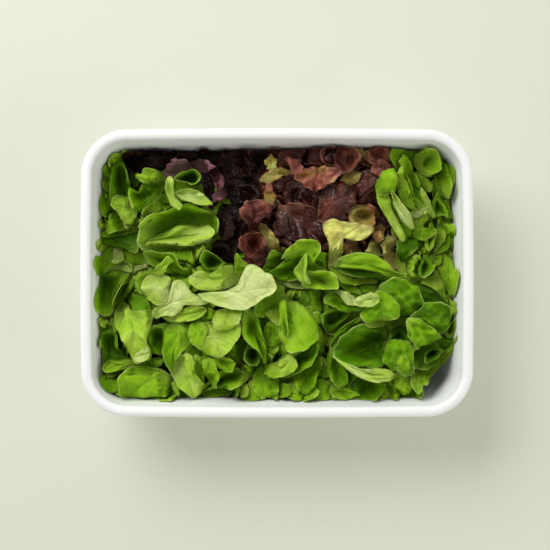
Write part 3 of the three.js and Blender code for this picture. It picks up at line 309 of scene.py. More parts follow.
# %% [markdown]
# ## Two ways to make a leaf
#
# The leaves that show are measured. Each is a smooth closed curve through a few points of its margin,
# with a height at each, and a middle that is sunk for a cup or raised for a dome. A grid of rings and
# spokes runs from that middle to the margin. Near the margin the blade flattens into a lip, as the edge
# of a lettuce leaf does, and goes up and down in ruffles, because the margin grows faster than the rest.

# %% Rings and spokes
def polar_grid(rings, spokes):
    """r and a of every point, with the middle first, the triangles between them, and the outer ring."""
    ring = (np.arange(1, rings + 1) / rings) ** 0.85
    spoke = TURN * np.arange(spokes) / spokes
    r = np.concatenate([[0], np.repeat(ring, spokes)])
    a = np.concatenate([[0], np.tile(spoke, rings)])
    index = 1 + np.arange(rings * spokes).reshape(rings, spokes)
    after = np.roll(index, -1, 1)
    middle = np.stack([np.zeros(spokes, int), index[0], after[0]], -1)
    inner, outer = index[:-1].ravel(), index[1:].ravel()
    inner_after, outer_after = after[:-1].ravel(), after[1:].ravel()
    rest = np.concatenate([
        np.stack([inner, outer, outer_after], -1),
        np.stack([inner, outer_after, inner_after], -1),
    ])
    return r, a, np.concatenate([middle, rest]), index[-1]


VIEW_GRID = polar_grid(13, 60)
FILL_GRID = polar_grid(7, 24)


# %% The margin of a measured leaf
def lengths_along(points):
    """The length of each side of a closed polygon, and the length along it up to each point and all round."""
    step = np.linalg.norm(np.roll(points, -1, 0) - points, axis=1)
    return step, np.concatenate([[0], np.cumsum(step)])


def closed_curve(points, count):
    """A smooth closed curve through the points (Catmull-Rom), sampled at even steps of chord length."""
    step, length = lengths_along(points)
    at = np.linspace(0, length[-1], count, endpoint=False)
    k = np.searchsorted(length, at, side="right") - 1
    t = ((at - length[k]) / step[k])[:, None]
    a, b, c, d = (points[(k + shift) % len(points)] for shift in (-1, 0, 1, 2))
    curve = b + t / 2 * (c - a + t * (2 * a - 5 * b + 4 * c - d + t * (3 * b - 3 * c + d - a)))
    return curve, length[-1]


def plan_parts(outline):
    """Twice the signed area between each edge of the outline and the origin, seen from above."""
    x, y = outline[:, 0], outline[:, 1]
    return x * np.roll(y, -1) - np.roll(x, -1) * y


def anticlockwise(margin):
    """The margin's points in that order, with the same point first."""
    return np.roll(margin[::-1], 1, axis=0) if plan_parts(margin).sum() < 0 else margin


def centroid(edge):
    """The middle of the area inside the outline."""
    part = plan_parts(edge)
    return ((edge + np.roll(edge, -1, 0))[:, :2] * part[:, None]).sum(0) / part.sum() / 3


# %% [markdown]
# A bare dome or cup would look like plastic. So the blade gets the movements of a real one, most of them
# sums of a few sines with drawn phases, which are smooth and cheap. The large ones are shares of the
# leaf's size, and the fine ones are in millimetres.

# %% The movements of a blade
SWAY, CREASE, CURL, FOLD = 0.1, 0.075, 0.3, 0.5  # their heights as shares of the size of a leaf
CHEVRONS = 7.0  # how close together the ridges beside the midrib are
FRILLY, FRILL_STEP, WAVE_STEP = 1.5, 9, 15  # a frill over the first has a ruffle every 9 mm, not every 15
IN_AND_OUT, MOST_IN_AND_OUT = 0.4, 1.2  # how far the ruffles move the margin sideways, and up to which frill
TURNED_IN = 0.1  # a margin that turns up or down comes in by this share
BLISTERS = np.array([1.6, 1.4])  # how fast the swellings follow, along and across
RIB_DEPTH, RIB_WIDTH, RIB_END = 0.8, 0.07, 0.7  # the groove of the midrib, which gets shallower up to its end
Look = namedtuple("Look", "frill blisters life crumple growth")


def ruffles(a, waves, p):
    """The margin's ups and downs, stronger on some sides, and its ins and outs."""
    up = np.sin(waves * a + p[0]) + 0.5 * np.sin((2 * waves + 1) * a + p[1])
    up += 0.25 * np.sin(5 * waves * a + p[2])
    out = np.sin((waves + 1) * a + p[4]) + 0.5 * np.sin((3 * waves - 1) * a + p[5])
    return up * (0.75 + 0.5 * np.sin(2 * a + p[3])), out


def ridges(along, across, phase):
    """Ridges that branch off the midrib like side veins: sin(CHEVRONS (along - 0.7 v) + phase) times
    v / (0.15 + v), where v is how far the point is from the midrib."""
    v = np.abs(across)
    return np.sin(CHEVRONS * (along - 0.7 * v) + phase) * v / (0.15 + v)


def turned_margin(r, a, q):
    """Where the outer 0.3 of the blade turns up, to 1.2, or down, to -0.7."""
    sides = np.sin(a + q[3]) + 0.8 * np.sin(2 * a + q[4]) + 0.6 * np.sin(3 * a + q[5])
    return np.clip((r - 0.7) / 0.3, 0, 1) ** 2 * np.clip(sides, -0.7, 1.2)


def wrinkles(x, y, way, q):
    """Long wrinkles over the plan: stripes at the angle way that waver, sin(s / 2.3 + 1.6 sin(t / 5)), and
    finer ones aslant to them, 0.4 sin(s / 1.3 + t / 2.5), with s across the stripes and t along them."""
    s = x * np.cos(way) + y * np.sin(way)
    t = y * np.cos(way) - x * np.sin(way)
    return np.sin(s / 2.3 + 1.6 * np.sin(t / 5 + q[1])) + 0.4 * np.sin(s / 1.3 + t / 2.5 + q[5])


# %% Measured leaves
RELIEF = 2.0  # the measured heights are guesses from the shading, and the shading asked for more
DIP, DEEPEST = 4.5, 26.0  # every leaf lies this much lower, and none lies deeper than the second


def measured_leaf(row, grid, rng, look):
    """The middle surface of a leaf from (tone, middle, margin points with their heights).

    The middle is a point, or only a height, and then it is over the centroid of the leaf's plan. Across
    the plan the blade runs straight from it to the margin: middle + (edge - middle) r growth.
    Its height over the heap's top is middle + (edge - middle) r^2 (1 + 0.3 (1 - r^6)), which is flat in
    the middle, steep near the margin and flatter again in the lip.
    look has the height of its ruffles in millimetres (frill), that of the swellings between the veins
    (blisters) and that of long wrinkles (crumple). Its life scales four larger movements: a slow sway,
    ridges beside the midrib, a margin that turns, and a fold along the midrib that lifts both halves. Its
    growth lets the leaf run on under its neighbours, past the part of it that was measured."""
    r, a, _, _ = grid
    _, middle, margin = row
    spokes = np.count_nonzero(r == r[-1])
    edge, around = closed_curve(anticlockwise(np.array(margin, float)), spokes)
    middle = np.array(middle if np.ndim(middle) else [*centroid(edge), middle], float)
    p, q = rng.uniform(0, TURN, (2, 6))
    fold, way = rng.uniform(0, 1), rng.uniform(0, np.pi)
    out = np.concatenate([[[0, 0, 0]], np.tile(edge - middle, (len(r) // spokes, 1))])
    along, across = r * np.cos(a), r * np.sin(a)
    size = around / 8
    step = FRILL_STEP if look.frill > FRILLY else WAVE_STEP
    up, sideways = ruffles(a, max(3, round(around / step)), p)
    reach = r * (1 + IN_AND_OUT * min(look.frill, MOST_IN_AND_OUT) * r**4 * sideways / size)
    turned = turned_margin(r, a, q)
    reach = reach * look.growth - TURNED_IN * look.life * np.abs(turned)
    plan = middle[:2] + out[:, :2] * reach[:, None]
    sway = r**2 * (np.sin(2 * a + q[0]) + 0.7 * np.sin(3 * a + q[1]))
    z = middle[2] + out[:, 2] * r**2 * (1 + 0.3 * (1 - r**6)) + look.frill * r**4 * up
    moved = SWAY * sway + CREASE * ridges(along, across, q[2]) + CURL * turned
    z += look.life * size * (moved + FOLD * fold * (np.abs(across) - 0.3))
    z = np.maximum(RELIEF * z - DIP, -DEEPEST)
    z += look.crumple * wrinkles(plan[:, 0], plan[:, 1], way, q)
    swell = np.sin(size * along / BLISTERS[0] + p[1]) * np.sin(size * across / BLISTERS[1] + p[2])
    z += look.blisters * swell * (1 - r**4)
    z -= RIB_DEPTH * np.exp(-((across / RIB_WIDTH) ** 2)) * np.clip(RIB_END - along, 0, 1)
    return np.column_stack([plan, z + heap_top(plan[:, 0], plan[:, 1])])


# %% [markdown]
# Under and between them are leaves that show only as edges. They come from a formula: a flat blade is
# bent across like a spoon, and that arc is carried along a midrib that is bent as well.

# %% Blades from a formula
FORMS = {
    "flat": dict(taper=0.2, cup=0.35, bend=-0.25, ruffle=0.045, waves=4, lobes=0.0),
    "cup": dict(taper=0.15, cup=1.15, bend=0.45, ruffle=0.05, waves=4, lobes=0.0),
    "curl": dict(taper=0.1, cup=1.5, bend=0.2, ruffle=0.04, waves=3, lobes=0.0),
    "frill": dict(taper=0.2, cup=0.5, bend=-0.3, ruffle=0.15, waves=5, lobes=0.12),
}


def rotation(roll, tilt, heading):
    """Roll about the midrib, then tilt the tip up, then turn to the heading: Rz Ry Rx."""
    (cr, ct, ch), (sr, st, sh) = np.cos([roll, tilt, heading]), np.sin([roll, tilt, heading])
    turn_x = np.array([[1, 0, 0], [0, cr, -sr], [0, sr, cr]])
    turn_y = np.array([[ct, 0, -st], [0, 1, 0], [st, 0, ct]])
    turn_z = np.array([[ch, -sh, 0], [sh, ch, 0], [0, 0, 1]])
    return turn_z @ turn_y @ turn_x


def blade(form, length, width, grid, rng):
    """The bent blade round its own middle, with the tip along +X.

    along = r cos a and across = r sin a (1 + taper r cos a), from -1 to 1. The cross-section is an arc
    that ends at the angle cup, and the midrib an arc that ends at the angle bend. The margin rises by
    ruffle r^3 times a sum of three sines of a."""
    r, a, _, _ = grid
    f = FORMS[form]
    p = rng.uniform(0, TURN, 6)
    waves = f["waves"] + rng.integers(0, 2)
    swell = 1 + f["lobes"] * r**2 * np.cos(waves * a + p[0])
    swell += 0.035 * r**2 * np.sin(2 * a + p[1]) + 0.03 * r**2 * np.sin(3 * a + p[2])
    along = r * np.cos(a) * swell
    across = r * np.sin(a) * swell * (1 + f["taper"] * r * np.cos(a))
    cup = f["cup"] * (1 + 0.35 * rng.uniform(-1, 1) * along + 0.15 * rng.uniform(-1, 1))
    bend = f["bend"] * (1 + 0.2 * rng.uniform(-1, 1))
    wave = np.sin(waves * a + p[3]) + 0.45 * np.sin((2 * waves + 1) * a + p[4])
    wave += 0.2 * np.sin((4 * waves - 1) * a + p[5])
    rise = (1 - np.cos(cup * across)) / cup * width / 2 + f["ruffle"] * length * r**3 * wave
    angle = bend * along
    x = np.sin(angle) / bend * length / 2 - np.sin(angle) * rise
    y = np.sin(cup * across) / cup * width / 2
    z = (1 - np.cos(angle)) / bend * length / 2 + np.cos(angle) * rise
    return np.stack([x, y, z], -1)


# %% [markdown]
# ## From a surface to a thin solid
#
# A leaf with no thickness would have no edge to catch the light, and could not be printed or weighed.
# So each surface is moved half a thickness to both sides along its normals, and a narrow band closes
# the margin. Both sides are split into the same triangles.

# %% Thin closed leaves
THICK = 0.5
TOP_LEAVES = 6.0  # a leaf's depth is counted from this far over the heap's top


def point_normals(points, triangles):
    """The mean of the normals of the triangles at each point, weighted by their areas."""
    a, b, c = (points[triangles[:, k]] for k in range(3))
    flat = np.cross(b - a, c - a)
    total = np.zeros_like(points)
    for k in range(3):
        np.add.at(total, triangles[:, k], flat)
    return total / np.maximum(np.linalg.norm(total, axis=1), 1e-12)[:, None]


def thicken(points, grid):
    """Both sides of the leaf, THICK apart and half that at the margin, and the band round it."""
    r, _, inside_faces, margin = grid
    normals = point_normals(points, inside_faces)
    half = (THICK / 2) * (1 - 0.5 * r**6)[:, None]
    both = np.concatenate([points + normals * half, points - normals * half])
    count = len(points)
    after = np.roll(margin, -1)
    faces = np.concatenate([
        inside_faces,
        inside_faces[:, ::-1] + count,
        np.stack([margin, margin + count, after + count], -1),
        np.stack([margin, after + count, after], -1),
    ])
    return both, faces


# %% Piles of leaves
class Pile:
    """Collects the leaves of one kind and makes one mesh of them."""

    def __init__(self, name):
        self.name = name
        self.points, self.faces, self.uvs, self.tones, self.depths = [], [], [], [], []
        self.count = 0

    def add(self, points, grid, tone, top, reach=REACH):
        """Holds a leaf inside the tub, slides it under those above, draws it into the map and keeps it."""
        points = hold_in(slide_under(hold_in(points), top, reach))
        mark(points, grid[2])
        both, faces = thicken(points, grid)
        self.points.append(both)
        self.faces.append(faces + self.count)
        self.tones.append(np.full(len(both), tone))
        # the depth under the heap's top, which the leaf shader turns into painted shade
        self.depths.append(heap_top(both[:, 0], both[:, 1]) + TOP_LEAVES - both[:, 2])
        uv = np.stack([0.5 + 0.5 * grid[0] * np.cos(grid[1]), 0.5 + 0.5 * grid[0] * np.sin(grid[1])], -1)
        self.uvs.append(np.tile(uv, (2, 1)))
        self.count += len(both)

    def finish(self, material, *nodes, slot):
        """Makes the mesh, gives it its material, hangs it from the root body and hides the nodes it stands
        for.
        slot is not used.
        """
        points, faces, uvs, tones, depths = map(
            np.concatenate, (self.points, self.faces, self.uvs, self.tones, self.depths)
        )
        piece = put_mesh(self.name, points, faces, uvs, {"tone": tones, "depth": depths})
        piece.data.materials.append(material)
        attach(piece, "root")
        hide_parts(*nodes)


# %% [markdown]
# ## The leaves that show
#
# Each row is one leaf: its tone, from 0 for the darkest of its kind to 1 for the palest, its middle,
# and the points of its margin as (x, y, height) in millimetres, the tip first. The tone is partly the
# leaf's own and partly painted light and shade: a part of a leaf that lies in shadow, such as the far
# side of a fold or a hollow under other leaves, is a row of its own with a lower tone. The middle is a
# height alone or a whole point. All heights are over the heap's top. In each list the leaves on top
# come first.

# %% Pale leaves in the middle
PALE = [
    (1.0, 6, [(2, -12, 5), (-1, -5, 5), (-9, 1, 5), (-17, 7, 5), (-24, 10, 5), (-30, 6, 4), (-35, -3, 3),
     (-40, -12, 2), (-52, -18, 2), (-66, -19, 2), (-76, -20, 1), (-68, -27, 1), (-56, -32, 2), (-42, -35, 3),
     (-30, -35, 4), (-20, -30, 4), (-10, -24, 5), (0, -19, 5)]),
    (0.7, 6, [(-39, 19, 5), (-34, 14, 6), (-28, 9, 5), (-31, 3, 3), (-36, -4, 2), (-39, -12, 1),
     (-41, -5, 2), (-41, 5, 4)]),
    (0.82, -1, [(-84, -3, 1), (-82, -12, 2), (-74, -17, 3), (-62, -18, 3), (-50, -16, 3), (-41, -12, 3),
     (-38, -4, 2), (-41, 7, 3), (-50, 7, 0), (-58, 3, -2), (-66, -1, -1), (-73, 3, 3)]),
    (0.92, 4, [(-66, -29, 1), (-72, -23, 2), (-80, -18, 3), (-86, -10, 4), (-92, -5, 4), (-99, -8, 4),
     (-102, -18, 3), (-106, -29, 2), (-118, -34, 0), (-120, -40, 0), (-118, -45, -1), (-110, -42, 0),
     (-99, -41, 0), (-91, -36, 1), (-88, -31, 1), (-78, -31, 1)]),
    (0.72, 5, [(-96, 12, 4), (-103, 16, 5), (-110, 10, 4), (-116, 4, 3), (-121, 0, 1), (-113, -2, 1),
     (-106, 1, 2), (-103, 7, 3), (-99, 11, 3)]),
    (0.86, 4, [(-117, -31, 0), (-127, -21, 1), (-130, -13, 2), (-128, -5, 2), (-120, 0, 2), (-110, 0, 2),
     (-102, -4, 1), (-99, -14, 0), (-103, -26, -1), (-109, -33, -1)]),
    (0.5, -10, [(-70, 21, 4), (-74, 13, 4), (-71, 6, 3), (-65, 2, 2), (-56, 3, 2), (-49, 8, 2), (-52, 12, 0),
     (-58, 17, 0), (-64, 21, 2)]),
    (0.8, 1, [(-112, -42, -2), (-104, -47, -1), (-92, -47, 0), (-80, -45, 0), (-70, -41, 0), (-66, -33, -1),
     (-76, -30, 0), (-88, -33, 0), (-100, -38, -1)]),
    (0.76, 2, [(-50, -56, 1), (-59, -54, 1), (-62, -46, 1), (-60, -37, 0), (-50, -33, -1), (-36, -34, -1),
     (-33, -41, 1), (-39, -51, 1)]),
    (0.62, 5, [(-82, -66, 2), (-85, -57, 1), (-82, -48, 0), (-72, -46, -1), (-66, -52, 4), (-68, -62, 5),
     (-74, -70, 4)]),
    (0.76, 3, [(-53, -81, 1), (-64, -80, 1), (-74, -75, 1), (-82, -67, 1), (-84, -57, 0), (-81, -48, -2),
     (-66, -45, -3), (-50, -47, -3), (-37, -46, -1), (-34, -57, 1), (-37, -65, 1), (-43, -73, 1)]),
    (0.56, 3, [(-101, -97, -3), (-106, -89, 0), (-109, -78, 1), (-109, -63, 1), (-106, -51, 1),
     (-97, -45, 0), (-87, -46, -2), (-80, -56, -3), (-82, -68, -3), (-91, -77, -1), (-98, -86, -1)]),
    (0.55, -5, [(-81, 4, 0), (-87, 2, 1), (-92, 8, 2), (-96, 16, 3), (-100, 20, 3), (-110, 20, 3),
     (-120, 22, 3), (-128, 20, 1), (-124, 10, -4), (-110, 2, -6), (-96, -2, -6), (-86, -3, -4)]),
    (0.55, -6, [(-106, 18, 1), (-114, 13, 2), (-121, 5, 3), (-129, -1, 3), (-135, -6, 3), (-136, -13, 2),
     (-131, -20, 0), (-122, -24, -4), (-112, -14, -6), (-104, -2, -5), (-102, 10, -2)]),
]

# %% Leaves at the back left
BACK_LEFT = [
    (0.74, 4, [(-104, 90, 6), (-99, 90, 6), (-98, 79, 6), (-96, 70, 6), (-90, 65, 7), (-94, 61, 4),
     (-101, 65, 4), (-105, 77, 5)]),
    (0.76, 2, [(-64, 66, 4), (-68, 73, 2), (-78, 79, 1), (-90, 80, 1), (-96, 76, 2), (-92, 71, 4),
     (-84, 68, 6), (-74, 65, 6)]),
    (0.74, -1, [(-60, 38, 6), (-66, 33, 6), (-76, 28, 6), (-90, 26, 6), (-105, 25, 5), (-120, 25, 5),
     (-124, 28, 2), (-114, 35, -4), (-104, 41, -7), (-97, 45, -8), (-84, 46, -9), (-72, 45, -8),
     (-64, 44, -4)]),
    (0.5, (-90, 53, -11), [(-57, 50, 5), (-58, 42, 6), (-64, 35, 6), (-75, 29, 6), (-90, 26, 6),
     (-105, 25, 5), (-120, 24, 5), (-128, 26, 6), (-132, 33, 6), (-131, 42, 6), (-126, 50, 6), (-117, 56, 4),
     (-106, 59, 2), (-96, 64, 3), (-86, 66, 4), (-75, 62, 4), (-63, 56, 5)]),
    (0.5, -12, [(-74, 93, 4), (-80, 99, 5), (-88, 97, 4), (-97, 92, 2), (-96, 89, 2), (-88, 87, 3),
     (-78, 85, 3)]),
    (0.56, -5, [(-75, 86, 1), (-88, 88, 1), (-103, 87, 4), (-104, 74, 4), (-101, 63, 2), (-96, 54, -2),
     (-87, 63, -3), (-76, 68, -1), (-72, 76, 0)]),
    (0.55, -2, [(-114, 73, 3), (-110, 76, 3), (-102, 75, 2), (-102, 70, 1), (-108, 67, 2), (-113, 69, 3)]),
    (0.66, 3, [(-117, 69, 3), (-124, 65, 3), (-129, 57, 1), (-124, 52, -2), (-115, 55, -2), (-113, 62, 1)]),
    (0.66, 3, [(-124, 100, 4), (-130, 96, 1), (-136, 94, -1), (-130, 88, -2), (-120, 86, -1), (-110, 89, 1),
     (-111, 96, 3), (-118, 99, 4)]),
    (0.5, -8, [(-142, 82, 3), (-140, 70, 2), (-134, 60, 0), (-126, 64, -3), (-118, 70, 0), (-112, 78, 0),
     (-108, 85, 2), (-118, 86, 3), (-128, 87, 3), (-135, 77, 1)]),
    (0.66, 0, [(-158, 66, 4), (-155, 61, 3), (-150, 56, 1), (-146, 48, 0), (-138, 49, -2), (-136, 60, -2),
     (-140, 70, -4), (-148, 74, -6), (-156, 73, 0)]),
    (0.42, (-149, 88, -11), [(-157, 105, 3), (-160, 90, 5), (-160, 72, 4), (-156, 62, 2), (-150, 56, 1),
     (-146, 48, 0), (-138, 49, -3), (-136, 62, -2), (-141, 75, 1), (-143, 90, 2), (-146, 101, 1),
     (-150, 107, 1)]),
    (0.55, 1, [(-158, 61, 1), (-165, 40, -1), (-154, 40, 0), (-143, 44, -1), (-148, 50, -1), (-152, 57, 0)]),
    (0.56, 2, [(-172, 39, 1), (-160, 42, 4), (-148, 45, 5), (-137, 48, 4), (-133, 44, 2), (-138, 40, 0),
     (-150, 37, -1), (-162, 35, -2), (-172, 35, -1)]),
    # Painted shade: the lower half of the fold above, turned from the light, is a darker leaf of its own.
    (0.33, -6, [(-171, 38, -2), (-171, 30, -5), (-158, 26, -6), (-150, 24, -5), (-141, 21, -4),
     (-133, 21, -3), (-133, 41, -2), (-150, 40, -4)]),
    (0.42, 0, [(-147, 97, 0), (-136, 97, 0), (-133, 90, -2), (-140, 84, -4), (-149, 88, -3)]),
    (0.8, 3, [(-158, 25, 3), (-151, 25, 3), (-149, 12, 1), (-157, 11, 1)]),
    (0.5, -1, [(-177, 0, 2), (-175, 9, 3), (-169, 18, 4), (-159, 28, 3), (-155, 20, -2), (-146, 11, -4),
     (-158, 7, -4), (-170, -2, -3)]),
]

# %% Leaves at the front left
FRONT_LEFT = [
    (0.74, 5, [(-142, 3, 4), (-148, 9, 5), (-158, 10, 6), (-168, 6, 6), (-176, -1, 4), (-170, -1, 3),
     (-160, 3, 4), (-150, 4, 4), (-145, 1, 3)]),
    (0.6, -3, [(-158, -31, 2), (-154, -22, 4), (-148, -12, 5), (-143, -1, 5), (-148, 1, 1), (-153, -8, -6),
     (-157, -20, -7)]),
    (0.48, (-165, -12, -10), [(-177, -4, 4), (-169, 4, 6), (-158, 8, 6), (-148, 8, 6), (-142, 2, 5),
     (-145, -8, 4), (-151, -17, 4), (-157, -25, 3), (-160, -38, 1), (-171, -37, 1), (-177, -26, 2),
     (-179, -14, 4)]),
    (0.9, 4, [(-136, -80, 2), (-130, -84, 4), (-124, -82, 5), (-121, -75, 4), (-125, -71, 3),
     (-131, -75, 3)]),
    (0.72, 4, [(-130, -84, 3), (-138, -80, 2), (-142, -70, 1), (-147, -61, 0), (-154, -52, 0),
     (-155, -38, 1), (-151, -28, 1), (-143, -32, 1), (-134, -37, 1), (-121, -38, -1), (-122, -52, -1),
     (-125, -64, 1), (-121, -74, 3), (-123, -81, 4)]),
    (0.58, 4, [(-140, -12, 1), (-148, -16, 4), (-157, -22, 5), (-161, -33, 5), (-160, -45, 4),
     (-156, -56, 2), (-151, -50, 0), (-152, -35, 0), (-150, -26, 0), (-142, -18, 0)]),
    (0.55, 4, [(-147, -119, 0), (-149, -106, 2), (-146, -97, 3), (-139, -92, 3), (-129, -90, 3),
     (-118, -92, 3), (-109, -96, 3), (-103, -103, 3), (-102, -110, 2), (-106, -116, 1), (-118, -118, 0),
     (-134, -119, 0)]),
    (0.62, 0, [(-165, -93, 4), (-154, -93, 4), (-143, -91, 3), (-134, -87, 1), (-142, -84, -4),
     (-153, -84, -7), (-163, -85, -4)]),
    (0.42, (-161, -72, -9), [(-167, -57, 4), (-159, -54, 4), (-154, -58, 3), (-153, -70, 3), (-149, -80, 3),
     (-142, -85, 2), (-134, -88, 1), (-143, -91, 3), (-154, -92, 4), (-165, -92, 4), (-168, -80, 4),
     (-168, -67, 4)]),
    (0.46, -9, [(-110, -78, 0), (-120, -73, 1), (-123, -62, 2), (-122, -53, 3), (-113, -50, 3),
     (-106, -52, 1), (-106, -65, -2)]),
    (0.52, -1, [(-137, -86, 0), (-120, -82, 0), (-109, -80, -1), (-112, -88, 0), (-119, -92, 0),
     (-134, -91, 0)]),
    (0.85, 1, [(-139, 6, 2), (-130, 8, 2), (-124, 10, 2), (-127, 5, 1), (-137, 2, 1), (-140, -2, -1)]),
    (0.55, -4, [(-152, 24, 1), (-141, 21, 2), (-133, 21, 3), (-127, 20, 3), (-125, 10, 0), (-134, 9, -2),
     (-148, 12, -3)]),
]

# %% The small open head at the front
SMALL_HEAD = [
    (0.76, 2, [(-80, -119, 1), (-88, -112, 2), (-95, -106, 2), (-100, -97, 2), (-99, -85, 3), (-88, -80, 3),
     (-80, -84, 1), (-78, -95, -3), (-72, -105, -2), (-75, -113, 0)]),
    (0.62, 1, [(-60, -109, 1), (-65, -103, 2), (-70, -93, 1), (-70, -84, 1), (-64, -81, 2), (-59, -88, 2),
     (-56, -98, 2)]),
    (0.6, -3, [(-44, -93, 2), (-52, -93, 2), (-58, -88, 1), (-60, -81, 0), (-52, -80, 1), (-45, -83, 1),
     (-41, -88, 2)]),
    (0.66, -2, [(-72, -105, -1), (-77, -96, -1), (-80, -83, 1), (-75, -80, 1), (-71, -89, 0),
     (-69, -98, -1)]),
    (0.55, -8, [(-80, -119, 1), (-70, -114, 3), (-58, -111, 4), (-45, -109, 4), (-34, -105, 3),
     (-31, -98, 1), (-40, -92, -2), (-52, -93, -4), (-62, -102, -5)]),
    (0.6, 1, [(-90, -120, 0), (-98, -113, 0), (-99, -104, 0), (-90, -109, 0), (-84, -116, 0)]),
    (0.5, 0, [(-76, -119, -1), (-62, -113, -1), (-46, -111, -1), (-46, -117, -2), (-60, -120, -2)]),
    (0.52, 0, [(-48, -79, -1), (-41, -71, 0), (-34, -65, 1), (-31, -72, 1), (-37, -85, 0), (-43, -91, -1)]),
    (0.68, 2, [(-24, -68, 3), (-31, -71, 3), (-37, -80, 2), (-42, -92, 0), (-38, -92, 0), (-32, -82, 0),
     (-26, -74, 1)]),
]

